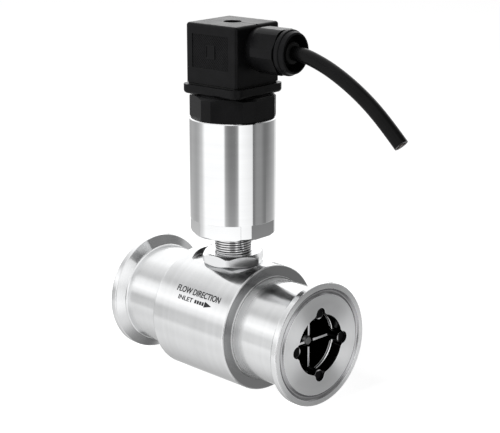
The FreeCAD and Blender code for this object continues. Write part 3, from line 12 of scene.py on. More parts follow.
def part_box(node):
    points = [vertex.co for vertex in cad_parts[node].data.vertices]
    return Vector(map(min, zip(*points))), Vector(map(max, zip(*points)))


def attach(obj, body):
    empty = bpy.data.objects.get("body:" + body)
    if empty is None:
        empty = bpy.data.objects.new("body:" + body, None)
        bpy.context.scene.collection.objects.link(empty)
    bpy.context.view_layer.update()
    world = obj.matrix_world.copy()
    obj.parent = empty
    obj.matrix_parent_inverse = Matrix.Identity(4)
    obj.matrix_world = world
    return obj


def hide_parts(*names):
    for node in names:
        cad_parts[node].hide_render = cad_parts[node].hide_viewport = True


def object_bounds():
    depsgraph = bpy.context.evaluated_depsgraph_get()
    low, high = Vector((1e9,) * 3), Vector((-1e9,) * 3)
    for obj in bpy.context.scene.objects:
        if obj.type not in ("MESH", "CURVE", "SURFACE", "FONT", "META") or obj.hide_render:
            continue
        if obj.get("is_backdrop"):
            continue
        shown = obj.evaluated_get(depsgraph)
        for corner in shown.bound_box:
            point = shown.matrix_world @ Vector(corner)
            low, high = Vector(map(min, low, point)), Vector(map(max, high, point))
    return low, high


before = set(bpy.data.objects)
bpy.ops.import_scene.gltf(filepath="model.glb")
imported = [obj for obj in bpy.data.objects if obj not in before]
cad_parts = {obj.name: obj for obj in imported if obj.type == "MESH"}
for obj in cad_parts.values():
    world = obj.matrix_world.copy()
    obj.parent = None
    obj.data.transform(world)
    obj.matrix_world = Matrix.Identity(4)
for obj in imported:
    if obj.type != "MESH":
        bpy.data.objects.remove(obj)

MM = 0.001
FULL_TURN = 2 * math.pi
WELD = 1e-7
SEAM_WELD = 1e-6
RING_STEPS = 160
RING_SHARP = 40.0
NOISE_DETAIL = 3.0
VIEW_AZIMUTH = 45.801
BARREL_HALF = 21.3 * MM
WHITE = (1.0, 1.0, 1.0, 1.0)

Colour = tuple[float, float, float]
Point = tuple[float, float, float]
Socket = bpy.types.NodeSocket
Piece = bpy.types.Object
Material = bpy.types.Material

logging.basicConfig(level=logging.INFO, format="%(message)s")
log = logging.getLogger("flow_meter")


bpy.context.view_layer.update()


# Places that come from the solids of model.glb -----------------------------


def middle(node: str) -> Vector:
    """Gives the middle of a solid's box."""
    low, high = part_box(node)
    return (low + high) / 2


BODY_MIDDLE = middle("meter_body")
HEAD_CENTRE = middle("housing_shell")
HEAD_FOOT = Vector((HEAD_CENTRE.x, HEAD_CENTRE.y, 0.0))
HEAD_TURN = math.radians(5.6)


# Modelling by hand --------------------------------------------------------


def deselect_all() -> None:
    """Leaves edit mode and selects nothing."""
    if bpy.context.object and bpy.context.object.mode != "OBJECT":
        bpy.ops.object.mode_set(mode="OBJECT")
    bpy.ops.object.select_all(action="DESELECT")


def take_up(piece: Piece) -> None:
    """Selects one object alone and makes it the active one.

    Args:
        piece: The object to work on.
    """
    deselect_all()
    piece.select_set(True)
    bpy.context.view_layer.objects.active = piece


def name_piece(piece: Piece, name: str) -> Piece:
    """Names an object and its data alike."""
    piece.name = piece.data.name = name
    return piece


def hang(name: str, data: bpy.types.ID, place: Sequence[float] = (0.0, 0.0, 0.0)) -> Piece:
    """Puts new data into the scene as an object.

    Args:
        name: The object's name.
        data: The curve, lamp or camera.
        place: Where it goes.

    Returns:
        The object.
    """
    made = bpy.data.objects.new(name, data)
    bpy.context.scene.collection.objects.link(made)
    made.location = place
    return made


def aim(piece: Piece, heading: Vector) -> None:
    """Turns a lamp or camera to look along a heading."""
    piece.rotation_euler = heading.to_track_quat("-Z", "Y").to_euler()


def edit(piece: Piece, action: str = "DESELECT") -> None:
    """Opens a mesh in edit mode.

    Args:
        piece: The mesh object.
        action: What is selected there: DESELECT for nothing, SELECT for all.
    """
    take_up(piece)
    bpy.ops.object.mode_set(mode="EDIT")
    bpy.ops.mesh.select_all(action=action)


def leave_edit() -> None:
    """Goes back to object mode."""
    bpy.ops.object.mode_set(mode="OBJECT")


def pick_faces(piece: Piece, test: Callable[[Vector, Vector], bool]) -> None:
    """Selects, in edit mode, the faces that pass a test.

    Args:
        piece: The mesh object, in edit mode.
        test: Says yes or no from a face's centre and its normal.
    """
    leave_edit()
    for polygon in piece.data.polygons:
        polygon.select = test(polygon.center, polygon.normal)
    bpy.ops.object.mode_set(mode="EDIT")
    bpy.ops.mesh.select_mode(type="FACE")


def settle_place(piece: Piece) -> Piece:
    """Moves an object's place, turn and scale into its mesh.

    Args:
        piece: The object.

    Returns:
        The same object, at the origin.
    """
    take_up(piece)
    bpy.ops.object.transform_apply(location=True, rotation=True, scale=True)
    return piece


def apply_modifier(piece: Piece, kind: str, **settings: object) -> None:
    """Adds one modifier, sets it and applies it.

    Args:
        piece: The object that it shapes.
        kind: The modifier's type.
        **settings: Its options by name.
    """
    take_up(piece)
    modifier = piece.modifiers.new(kind.title(), kind)
    for option, value in settings.items():
        setattr(modifier, option, value)
    bpy.ops.object.modifier_apply(modifier=modifier.name)


def turn_out(piece: Piece) -> None:
    """Merges doubled points and points every face outwards.

    Args:
        piece: The mesh object.
    """
    edit(piece, "SELECT")
    bpy.ops.mesh.remove_doubles(threshold=WELD)
    bpy.ops.mesh.normals_make_consistent(inside=False)
    leave_edit()


def trim(piece: Piece, point: Point, outward: Point) -> None:
    """Cuts away what lies beyond a plane and closes the cut.

    Args:
        piece: The mesh object.
        point: A point of the plane.
        outward: The plane's normal, towards what is cut away.
    """
    edit(piece, "SELECT")
    bpy.ops.mesh.bisect(plane_co=point, plane_no=outward, use_fill=True, clear_outer=True,
                        threshold=WELD)
    leave_edit()


def join(pieces: Sequence[Piece], name: str) -> Piece:
    """Joins several mesh objects into one.

    Args:
        pieces: The objects.
        name: The name of the result.

    Returns:
        The joined object.
    """
    take_up(pieces[0])
    for piece in pieces[1:]:
        piece.select_set(True)
    bpy.ops.object.join()
    return name_piece(pieces[0], name)


def copy_of(piece: Piece, shift: Vector) -> Piece:
    """Copies a piece with a mesh of its own and moves that mesh.

    Args:
        piece: The object to copy.
        shift: How far the copy moves.

    Returns:
        The copy.
    """
    twin = piece.copy()
    twin.data = piece.data.copy()
    bpy.context.scene.collection.objects.link(twin)
    twin.data.transform(Matrix.Translation(shift))
    return twin


def coat_with(piece: Piece, *materials: Material) -> None:
    """Gives a piece its materials in place of any that it has.

    Args:
        piece: The object.
        *materials: Its materials in the order of their slots.
    """
    piece.data.materials.clear()
    for material in materials:
        piece.data.materials.append(material)


def smooth(piece: Piece, degrees: float = 30.0) -> None:
    """Shades a piece smooth, keeping its sharper edges."""
    take_up(piece)
    bpy.ops.object.shade_smooth_by_angle(angle=math.radians(degrees))


def spin_ring(name: str, profile: Sequence[tuple[float, float]]) -> Piece:
    """Turns a closed profile into a ring about the pipe axis.

    Args:
        name: The ring's name.
        profile: Its corners as the place along the pipe and the distance from the axis.

    Returns:
        The ring.
    """
    deselect_all()
    bpy.ops.mesh.primitive_circle_add(vertices=len(profile), fill_type="NOTHING")
    ring = name_piece(bpy.context.object, name)
    for corner, (along, reach) in zip(ring.data.vertices, profile):
        corner.co = (along, -reach, 0.0)
    edit(ring, "SELECT")
    bpy.ops.mesh.spin(steps=RING_STEPS, angle=FULL_TURN, dupli=False, center=(0.0, 0.0, 0.0),
                      axis=(1.0, 0.0, 0.0))
    bpy.ops.mesh.select_all(action="SELECT")
    bpy.ops.mesh.remove_doubles(threshold=SEAM_WELD)
    leave_edit()
    turn_out(ring)
    smooth(ring, RING_SHARP)
    return ring


# Shader wiring -------------------------------------------------------------


class Turning(Enum):
    """The axis that a piece was turned about, by its number and its letter."""

    PIPE = (0, "X")
    PICKUP = (2, "Z")


class Wiring:
    """Adds and joins the nodes of one shader tree."""

    def __init__(self, tree: bpy.types.NodeTree) -> None:
        """Takes the tree to work on."""
        self.tree = tree

    def node(self, kind: str, **settings: object) -> bpy.types.Node:
        """Adds a node and sets its options.

        Args:
            kind: The node's type.
            **settings: Its options by name.

        Returns:
            The node.
        """
        made = self.tree.nodes.new(kind)
        for option, value in settings.items():
            setattr(made, option, value)
        return made

    def feed(self, socket: Socket, source: object) -> None:
        """Links a socket to a source socket, or gives it a plain value.

        Args:
            socket: The socket.
            source: The source socket or the value.
        """
        if isinstance(source, Socket):
            self.tree.links.new(source, socket)
        else:
            socket.default_value = source

    def maths(self, operation: str, *sources: object, clamp: bool = False) -> Socket:
        """Adds a Math node.

        Args:
            operation: What it works out.
            *sources: Its inputs in order.
            clamp: Whether the result stays from 0 to 1.

        Returns:
            Its result.
        """
        made = self.node("ShaderNodeMath", operation=operation, use_clamp=clamp)
        for socket, source in zip(made.inputs, sources):
            self.feed(socket, source)
        return made.outputs[0]

    def plus(self, first: object, second: object) -> Socket:
        """Adds two values."""
        return self.maths("ADD", first, second)

    def minus(self, first: object, second: object) -> Socket:
        """Takes the second value from the first."""
        return self.maths("SUBTRACT", first, second)

    def times(self, first: object, second: object) -> Socket:
        """Multiplies two values."""
        return self.maths("MULTIPLY", first, second)

    def fade(self, value: object, low: float, high: float, at_low: object = 0.0,
             at_high: object = 1.0) -> Socket:
        """Maps a value smoothly between two levels.

        Args:
            value: The value.
            low: Where the change starts.
            high: Where it ends.
            at_low: The result at the start.
            at_high: The result at the end.

        Returns:
            The mapped value.
        """
        made = self.node("ShaderNodeMapRange", interpolation_type="SMOOTHSTEP")
        for socket, source in zip(made.inputs, (value, low, high, at_low, at_high)):
            self.feed(socket, source)
        return made.outputs[0]

    def shade(self, share: object, first: object, second: object) -> Socket:
        """Mixes two colours.

        Args:
            share: How much of the second colour shows.
            first: The first colour.
            second: The second colour.

        Returns:
            The mixed colour.
        """
        made = self.node("ShaderNodeMix", data_type="RGBA")
        colours = [socket for socket in made.inputs if socket.type == "RGBA"]
        self.feed(made.inputs[0], share)
        for socket, colour in zip(colours, (first, second)):
            self.feed(socket, (*colour, 1.0) if isinstance(colour, tuple) else colour)
        return [socket for socket in made.outputs if socket.type == "RGBA"][0]

    def parts_of(self, vector: Socket) -> bpy.types.NodeOutputs:
        """Splits a vector.

        Args:
            vector: The vector.

        Returns:
            Its three parts.
        """
        made = self.node("ShaderNodeSeparateXYZ")
        self.feed(made.inputs[0], vector)
        return made.outputs

    def off_axis(self, place: Socket) -> Socket:
        """Gives a place's distance from its Z axis."""
        x, y, _ = self.parts_of(place)
        return self.maths("SQRT", self.plus(self.times(x, x), self.times(y, y)))

    def coordinates(self, kind: str) -> Socket:
        """Gives Object, Normal or, in the world, Generated coordinates."""
        return self.node("ShaderNodeTexCoord").outputs[kind]

    def centred(self, turning: Turning) -> Socket:
        """Gives object coordinates whose Z runs along the turning axis.

        Args:
            turning: The axis.

        Returns:
            The coordinates.
        """
        mapping = self.node("ShaderNodeMapping", vector_type="TEXTURE")
        self.feed(mapping.inputs["Vector"], self.coordinates("Object"))
        if turning is Turning.PIPE:
            mapping.inputs["Rotation"].default_value = (0.0, math.pi / 2, 0.0)
        else:
            mapping.inputs["Location"].default_value = HEAD_FOOT
        return mapping.outputs["Vector"]

    def noise(self, vector: object, scale: object) -> Socket:
        """Adds plain noise.

        Args:
            vector: The place.
            scale: How many cells go to a metre.

        Returns:
            The noise, from 0 to 1.
        """
        made = self.node("ShaderNodeTexNoise")
        for label, source in (("Vector", vector), ("Scale", scale), ("Detail", NOISE_DETAIL)):
            self.feed(made.inputs[label], source)
        return made.outputs["Fac"]

    def streaks(self, station: object, detail: float) -> Socket:
        """Adds noise along one line, a cell to each whole number.

        Args:
            station: The place along the line.
            detail: How many finer layers it has.

        Returns:
            The noise, from 0 to 1.
        """
        made = self.node("ShaderNodeTexNoise", noise_dimensions="1D")
        for label, source in (("W", station), ("Scale", 1.0), ("Detail", detail)):
            self.feed(made.inputs[label], source)
        return made.outputs["Fac"]

    def ray_is(self, *kinds: str) -> Socket:
        """Tells rays apart.

        Args:
            *kinds: The kinds of ray that count, such as Camera.

        Returns:
            1 for a ray of one of those kinds and 0 for others.
        """
        path = self.node("ShaderNodeLightPath").outputs
        found = path[f"Is {kinds[0]} Ray"]
        for kind in kinds[1:]:
            found = self.maths("MAXIMUM", found, path[f"Is {kind} Ray"])
        return found

    def group(self, tree: bpy.types.NodeTree, **inputs: object) -> bpy.types.NodeOutputs:
        """Places a shader node group.

        Args:
            tree: The group.
            **inputs: What its inputs get, by name.

        Returns:
            The group's outputs.
        """
        made = self.node("ShaderNodeGroup", node_tree=tree)
        for label, source in inputs.items():
            self.feed(made.inputs[label], source)
        return made.outputs


class Effect(Wiring):
    """The wiring of a shader node group with named inputs and outputs."""

    def __init__(self, name: str, inputs: Sequence[tuple[str, str, float]],
                 outputs: Sequence[str]) -> None:
        """Makes the empty group.

        Args:
            name: The group's name.
            inputs: Each input's name, kind and starting value.
            outputs: The names of its outputs, which are all plain numbers.
        """
        super().__init__(bpy.data.node_groups.new(name, "ShaderNodeTree"))
        sockets = self.tree.interface
        for label, kind, value in inputs:
            socket = sockets.new_socket(name=label, in_out="INPUT",
                                        socket_type=f"NodeSocket{kind}")
            if kind == "Float":
                socket.default_value = value
        for label in outputs:
            sockets.new_socket(name=label, in_out="OUTPUT", socket_type="NodeSocketFloat")
        self.given = self.node("NodeGroupInput").outputs
        self.result = self.node("NodeGroupOutput").inputs

    def give(self, **sources: object) -> bpy.types.NodeTree:
        """Feeds the group's outputs.

        Args:
            **sources: What each output gets, by name.

        Returns:
            The finished group.
        """
        for label, source in sources.items():
            self.feed(self.result[label], source)
        return self.tree


def rubbed_and_highlit_edges() -> bpy.types.NodeTree:
    """Builds the mask of edges, used for rubbed wear and for painted edge highlights.

    Returns:
        The group, with Radius and Reach in and Mask out.
    """
    effect = Effect("rubbed_and_highlit_edges", (("Radius", "Float", 0.0003), ("Reach", "Float", 4.0)),
                    ("Mask",))
    bevel = effect.node("ShaderNodeBevel", samples=4)
    effect.feed(bevel.inputs["Radius"], effect.given["Radius"])
    likeness = effect.node("ShaderNodeVectorMath", operation="DOT_PRODUCT")
    effect.feed(likeness.inputs[0], bevel.outputs["Normal"])
    effect.feed(likeness.inputs[1], effect.node("ShaderNodeNewGeometry").outputs["Normal"])
    bend = effect.minus(1.0, likeness.outputs["Value"])
    return effect.give(Mask=effect.maths("MULTIPLY", bend, effect.given["Reach"], clamp=True))


def turned_marks() -> bpy.types.NodeTree:
    """Builds the fine rings that a lathe tool leaves about an axis along Z.

    Returns:
        The group, with Vector and Spacing in and Height and Tone out.
    """
    effect = Effect("turned_marks", (("Vector", "Vector", 0.0), ("Spacing", "Float", 0.0002)),
                    ("Height", "Tone"))
    place = effect.given["Vector"]
    along = effect.plus(effect.parts_of(place)[2], effect.off_axis(place))
    station = effect.maths("DIVIDE", along, effect.given["Spacing"])
    fine = effect.streaks(station, NOISE_DETAIL)
    broad = effect.streaks(effect.times(station, 0.07), 2.0)
    return effect.give(Height=fine,
                       Tone=effect.plus(effect.times(fine, 0.4), effect.times(broad, 0.6)))


def moulded_grain() -> bpy.types.NodeTree:
    """Builds the fine spark-eroded grain of a moulded surface.

    Returns:
        The group, with Vector and Scale in and Height and Tone out.
    """
    effect = Effect("moulded_grain", (("Vector", "Vector", 0.0), ("Scale", "Float", 4000.0)),
                    ("Height", "Tone"))
    place, scale = effect.given["Vector"], effect.given["Scale"]
    cells = effect.node("ShaderNodeTexVoronoi", feature="SMOOTH_F1")
    effect.feed(cells.inputs["Vector"], place)
    effect.feed(cells.inputs["Scale"], scale)
    soft = effect.noise(place, effect.times(scale, 0.4))
    slow = effect.noise(place, effect.times(scale, 0.03))
    return effect.give(Height=effect.plus(effect.times(cells.outputs["Distance"], 0.5), soft),
                       Tone=effect.plus(effect.times(slow, 0.65), effect.times(soft, 0.35)))


class Effects:
    """The shader node groups that the finishes share."""

    def __init__(self) -> None:
        """Builds each group once."""
        self.edges = rubbed_and_highlit_edges()
        self.turned = turned_marks()
        self.grain = moulded_grain()


def scaled(colour: Colour, factor: float) -> Colour:
    """Makes a colour lighter or darker."""
    return tuple(min(1.0, part * factor) for part in colour)


class Coat(Wiring):
    """The wiring of one new material round its surface shader."""

    def __init__(self, name: str) -> None:
        """Makes the material with a bare surface shader.

        Args:
            name: The material's name.
        """
        self.made = bpy.data.materials.new(name)
        self.made.use_nodes = True
        super().__init__(self.made.node_tree)
        self.tree.nodes.clear()
        self.shader = self.node("ShaderNodeBsdfPrincipled")
        output = self.node("ShaderNodeOutputMaterial")
        self.feed(output.inputs["Surface"], self.shader.outputs["BSDF"])

    def surface(self, **sources: object) -> None:
        """Feeds the shader's inputs, named with low lines for spaces."""
        for label, source in sources.items():
            self.feed(self.shader.inputs[label.replace("_", " ")], source)

    def mottle(self, tone: Socket, colour: Colour, dark: float, light: float,
               low: float = 0.3, high: float = 0.7) -> Socket:
        """Varies a colour a little with a slow tone.

        Args:
            tone: The slow tone, from 0 to 1.
            colour: The colour.
            dark: What it is multiplied by where the tone is low.
            light: What it is multiplied by where the tone is high.
            low: The tone up to which it is darkest.
            high: The tone from which it is lightest.

        Returns:
            The colour.
        """
        return self.shade(self.fade(tone, low, high), scaled(colour, dark), scaled(colour, light))

    def relief(self, height: object, strength: float, depth: float,
               edge_round: float = 0.0) -> None:
        """Raises a fine relief on the surface.

        Args:
            height: The relief, from 0 to 1.
            strength: How much of it shows.
            depth: Its depth in metres.
            edge_round: How far sharp edges look rounded off.
        """
        bump = self.node("ShaderNodeBump")
        if edge_round > 0.0:
            rounded = self.node("ShaderNodeBevel", samples=6)
            rounded.inputs["Radius"].default_value = edge_round
            self.feed(bump.inputs["Normal"], rounded.outputs["Normal"])
        for label, source in (("Strength", strength), ("Distance", depth), ("Height", height)):
            self.feed(bump.inputs[label], source)
        self.surface(Normal=bump.outputs["Normal"])


# Finishes -------------------------------------------------------------------


@dataclass(frozen=True)
class Finish:
    """A finish, whose kinds each wire their own surface."""

    name: str

    def material(self, effects: Effects) -> Material:
        """Makes the material.

        Args:
            effects: The shared groups.

        Returns:
            The material.
        """
        coat = Coat(self.name)
        self.wire(coat, effects)
        return coat.made

    def wire(self, coat: Coat, effects: Effects) -> None:
        """Wires the surface of a new coat with the shared groups."""
        raise NotImplementedError


@dataclass(frozen=True)
class TurnedSteel(Finish):
    """Turned stainless steel with tool rings, duller end faces and rubbed edges, and painted shade
    where asked on undersides and in thread roots.
    """

    colour: Colour = (0.66, 0.665, 0.67)
    roughness: float = 0.09
    face_roughness: float = 0.3
    stretch: float = 0.85
    turning: Turning = Turning.PIPE
    spacing: float = 0.25 * MM
    relief: float = 0.02
    contrast: float = 0.035
    edge_radius: float = 0.22 * MM
    edge_reach: float = 3.0
    edge_share: float = 0.6
    edge_tone: float = 1.2
    edge_gloss: float = 0.03
    edge_round: float = 0.2 * MM
    patch_scale: float = 90.0
    facing_band: tuple[float, float] = (0.955, 0.99)
    underside_band: tuple[float, float] = (-0.98, -0.8)
    root_radius: float = 0.0
    crest_radius: float = 0.0
    # Tone of the painted shade in thread roots and recesses.
    painted_recess_shade: float = 0.12
    # Tone of the painted shade on downward faces, standing in for the shade under the part; 1
    # leaves none.
    underside_tone: float = 1.0

    def wire(self, coat: Coat, effects: Effects) -> None:
        """Wires the steel.

        Args:
            coat: The new material.
            effects: The shared groups.
        """
        number, letter = self.turning.value
        place = coat.centred(self.turning)
        marks = coat.group(effects.turned, Vector=place, Spacing=self.spacing)
        tone = coat.plus(coat.times(marks["Tone"], 0.6),
                         coat.times(coat.noise(place, self.patch_scale), 0.4))
        edges = coat.group(effects.edges, Radius=self.edge_radius, Reach=self.edge_reach)["Mask"]
        flat = coat.maths("ABSOLUTE", coat.parts_of(coat.coordinates("Normal"))[number])
        facing = coat.fade(flat, *self.facing_band)
        base = coat.mottle(tone, self.colour, 1 - self.contrast, 1 + self.contrast)
        layers = [(coat.times(edges, self.edge_share), self.edge_tone)]
        layers += self.layers(coat, coat.off_axis(place), flat, facing)
        for mask, level in layers:
            base = coat.shade(mask, base, scaled(self.colour, level))
        side, end = self.side_and_end(coat, facing)
        rough = coat.times(coat.fade(facing, 0.0, 1.0, side, end),
                           coat.fade(tone, 0.25, 0.75, 0.85, 1.15))
        around = coat.node("ShaderNodeTangent", direction_type="RADIAL", axis=letter)
        coat.surface(Base_Color=base, Metallic=1.0,
                     Roughness=coat.minus(rough, coat.times(edges, self.edge_gloss)),
                     Anisotropic=self.stretch, Anisotropic_Rotation=0.25,
                     Tangent=around.outputs["Tangent"])
        coat.relief(marks["Height"], self.relief, self.spacing * 0.1, self.edge_round)

    def layers(self, coat: Coat, reach: Socket, flat: Socket,
               facing: Socket) -> list[tuple[Socket, float]]:
        """Lists the places that get painted shade: the underside and the thread roots.

        Args:
            coat: The new material.
            reach: The distance from the turning axis.
            flat: How squarely a surface faces along that axis; not used here.
            facing: The mask of the end faces; not used here.

        Returns:
            Each place's mask and tone.
        """
        found = []
        # Painted shade: faces that point down are darkened as if in shadow.
        if self.underside_tone < 1.0:
            upward = coat.parts_of(coat.coordinates("Normal"))[2]
            under = coat.fade(upward, *self.underside_band, 1.0, 0.0)
            found.append((under, self.underside_tone))
        # Painted shade in the thread roots, between the thread's turns.
        if self.crest_radius > 0.0:
            root = coat.fade(reach, self.root_radius, self.crest_radius, 1.0, 0.0)
            found.append((root, self.painted_recess_shade))
        return found

    def side_and_end(self, coat: Coat, facing: Socket) -> tuple[object, object]:
        """Gives the roughness of the turned side and of the end faces."""
        return self.roughness, self.face_roughness


@dataclass(frozen=True)
class BodySteel(TurnedSteel):
    """The body's steel: duller by the barrel's shoulders, with painted shade in the bore, on the
    shoulders and round the spot face, and painted light on the clamp faces.
    """

    bore_radius: float = 16.0 * MM
    bore_blend: float = 0.3 * MM
    # Painted shade on the bore wall.
    painted_bore_shade: float = 0.06
    # Painted light on the clamp end faces.
    painted_face_light: float = 1.3
    # Painted shade on the barrel's shoulders.
    painted_shoulder_shade: float = 0.54
    shoulder_roughness: float = 0.14
    shoulder_blend: float = 0.2 * MM
    shoulder_zone: tuple[float, float] = (28.0 * MM, 32.0 * MM)
    root_roughness: float = 0.4
    root_zone: tuple[float, float] = (0.5 * MM, 7.0 * MM)
    far_from_root: float = 20.0 * MM
    recess_start: tuple[float, float] = (11.0 * MM, 12.5 * MM)
    recess_end: tuple[float, float] = (19.0 * MM, 20.0 * MM)
    recess_height: tuple[float, float] = (22.8 * MM, 23.4 * MM)
    bore_wall_band: tuple[float, float] = (0.5, 0.9)
    upright_band: tuple[float, float] = (0.2, 0.5)

    def from_middle(self, coat: Coat) -> Socket:
        """Gives the distance along the pipe from the body's middle."""
        along = coat.parts_of(coat.coordinates("Object"))[0]
        return coat.maths("ABSOLUTE", coat.minus(along, BODY_MIDDLE.x))

    def shoulder(self, coat: Coat, facing: Socket) -> Socket:
        """Marks the shoulders of the barrel, well inside the two end faces."""
        return coat.times(facing, coat.fade(self.from_middle(coat), *self.shoulder_zone, 1.0, 0.0))

    def layers(self, coat: Coat, reach: Socket, flat: Socket,
               facing: Socket) -> list[tuple[Socket, float]]:
        """Lists the painted shade in the bore, the painted light on the end faces, and the painted
        shade on the shoulders and the recess, with their tones.

        Args:
            coat: The new material.
            reach: The distance from the turning axis.
            flat: How squarely a surface faces along that axis.
            facing: The mask of the end faces.

        Returns:
            Each place's mask and tone.
        """
        bore_end = self.bore_radius + self.bore_blend
        # Painted shade: the bore wall is darkened as unlit interior.
        inside = coat.times(coat.fade(reach, self.bore_radius, bore_end, 1.0, 0.0),
                            coat.fade(flat, *self.bore_wall_band, 1.0, 0.0))
        # The end faces get painted light; the shoulders and the recess wall get painted shade.
        return [(inside, self.painted_bore_shade), (facing, self.painted_face_light),
                (self.shoulder(coat, facing), self.painted_shoulder_shade),
                (self.recess_wall(coat), self.painted_recess_shade)]

    def recess_wall(self, coat: Coat) -> Socket:
        """Marks the low upright wall round the spot face under the nut, for painted shade.

        Args:
            coat: The new material.

        Returns:
            The wall's mask.
        """
        height = coat.parts_of(coat.coordinates("Object"))[2]
        upward = coat.parts_of(coat.coordinates("Normal"))[2]
        reach = coat.off_axis(coat.centred(Turning.PICKUP))
        near = coat.times(coat.fade(reach, *self.recess_start),
                          coat.fade(reach, *self.recess_end, 1.0, 0.0))
        upright = coat.fade(coat.maths("ABSOLUTE", upward), *self.upright_band, 1.0, 0.0)
        return coat.times(coat.times(near, coat.fade(height, *self.recess_height)), upright)

    def side_and_end(self, coat: Coat, facing: Socket) -> tuple[object, object]:
        """Gives the roughness of the tubes, dull by the barrel, and of the flat faces.

        Args:
            coat: The new material.
            facing: The mask of the end faces.

        Returns:
            The roughness of the side and of the end faces.
        """
        past = coat.minus(self.from_middle(coat), BARREL_HALF)
        on_barrel = coat.fade(past, -self.shoulder_blend, 0.0, self.far_from_root, 0.0)
        side = coat.fade(coat.maths("MAXIMUM", past, on_barrel), *self.root_zone,
                         self.root_roughness, self.roughness)
        return side, coat.fade(self.shoulder(coat, facing), 0.0, 1.0, self.face_roughness,
                               self.shoulder_roughness)


@dataclass(frozen=True)
class GuideSteelWithPaintedLight(Finish):
    """Guide steel coloured near-black as painted shade in the bore, with painted highlights on the
    vane fronts and edges that face along the pipe.
    """

    # Near-black as painted shade in the bore.
    colour: Colour = (0.005, 0.005, 0.0055)
    vane_highlight: Colour = (0.97, 0.97, 0.98)
    roughness: float = 0.34
    lug_radius: float = 10.8 * MM
    lug_blend: float = 0.6 * MM
    nose_radius: float = 1.5 * MM
    nose_blend: float = 0.4 * MM
    highlight_band: tuple[float, float] = (0.35, 0.95)
    highlight_blur: float = 1.6
    edge_radius: float = 0.25 * MM
    edge_reach: float = 2.5
    edge_round: float = 0.45 * MM
    grain_scale: float = 2500.0
    grain_depth: float = 0.02 * MM

    def wire(self, coat: Coat, effects: Effects) -> None:
        """Wires the guide steel.

        Args:
            coat: The new material.
            effects: The shared groups.
        """
        grain = coat.group(effects.grain, Vector=coat.coordinates("Object"),
                           Scale=self.grain_scale)
        facing = coat.maths("ABSOLUTE", coat.parts_of(coat.coordinates("Normal"))[0])
        edges = coat.group(effects.edges, Radius=self.edge_radius, Reach=self.edge_reach)["Mask"]
        reach = coat.off_axis(coat.centred(Turning.PIPE))
        # Painted highlight on the vane fronts facing along the pipe and, at half strength, on
        # edges; the lugs and the hub's centre keep the near-black painted shade.
        vane = coat.times(
            coat.fade(reach, self.lug_radius, self.lug_radius + self.lug_blend, 1.0, 0.0),
            coat.fade(reach, self.nose_radius, self.nose_radius + self.nose_blend, 0.25, 1.0))
        bright = coat.maths("MAXIMUM", coat.times(vane, coat.fade(facing, *self.highlight_band)),
                            coat.times(edges, 0.5))
        base = coat.mottle(grain["Tone"], self.colour, 0.7, 1.4)
        coat.surface(Base_Color=coat.shade(bright, base, self.vane_highlight), Metallic=1.0,
                     Roughness=coat.fade(bright, 0.0, 1.0, self.roughness,
                                         self.roughness * self.highlight_blur))
        coat.relief(grain["Height"], 0.1, self.grain_depth, self.edge_round)


@dataclass(frozen=True)
class Moulding(Finish):
    """Moulded plastic or rubber with a fine grain and lighter edges, part rubbed wear and part
    painted highlight.
    """

    colour: Colour = (0.006, 0.006, 0.0065)
    roughness: float = 0.36
    specular: float = 0.09
    grain_scale: float = 5200.0
    relief: float = 0.25
    contrast: float = 0.35
    grain_depth: float = 0.02 * MM
    edge_tone: float = 2.2
    edge_radius: float = 0.35 * MM
    edge_reach: float = 1.5
    edge_share: float = 0.7
    edge_gloss: float = 0.08
    sheen: float = 0.0

    def wire(self, coat: Coat, effects: Effects) -> None:
        """Wires the moulded surface.

        Args:
            coat: The new material.
            effects: The shared groups.
        """
        grain = coat.group(effects.grain, Vector=coat.coordinates("Object"),
                           Scale=self.grain_scale)
        edges = coat.group(effects.edges, Radius=self.edge_radius, Reach=self.edge_reach)["Mask"]
        base = coat.mottle(grain["Tone"], self.colour, 1 - self.contrast, 1 + self.contrast)
        rough = coat.fade(grain["Tone"], 0.2, 0.8, self.roughness * 0.85, self.roughness * 1.15)
        coat.surface(Base_Color=coat.shade(coat.times(edges, self.edge_share), base,
                                           scaled(self.colour, self.edge_tone)),
                     Roughness=coat.minus(rough, coat.times(edges, self.edge_gloss)),
                     Specular_IOR_Level=self.specular, Sheen_Weight=self.sheen)
        coat.relief(grain["Height"], self.relief, self.grain_depth)


@dataclass(frozen=True)
class WoundWire(Finish):
    """Enamelled copper wire wound in close turns about the pickup axis."""

    colour: Colour = (0.62, 0.24, 0.09)
    pitch: float = 0.28 * MM
    tarnish_scale: float = 3000.0

    def wire(self, coat: Coat, effects: Effects) -> None:
        """Wires the winding.

        Args:
            coat: The new material.
            effects: The shared groups.
        """
        place = coat.coordinates("Object")
        turn = coat.times(coat.parts_of(place)[2], FULL_TURN / self.pitch)
        ridge = coat.maths("MULTIPLY_ADD", coat.maths("SINE", turn), 0.5, 0.5)
        slow = coat.group(effects.grain, Vector=place, Scale=self.tarnish_scale)["Tone"]
        # Painted shade: the troughs between turns are darkened, while the crowns keep the wire's
        # colour.
        base = coat.shade(ridge, scaled(self.colour, 0.35), self.colour)
        coat.surface(Base_Color=coat.shade(coat.times(slow, 0.3), base, scaled(self.colour, 1.4)),
                     Metallic=1.0, Roughness=coat.fade(slow, 0.2, 0.8, 0.25, 0.4))
        coat.relief(ridge, 0.6, self.pitch / 2)


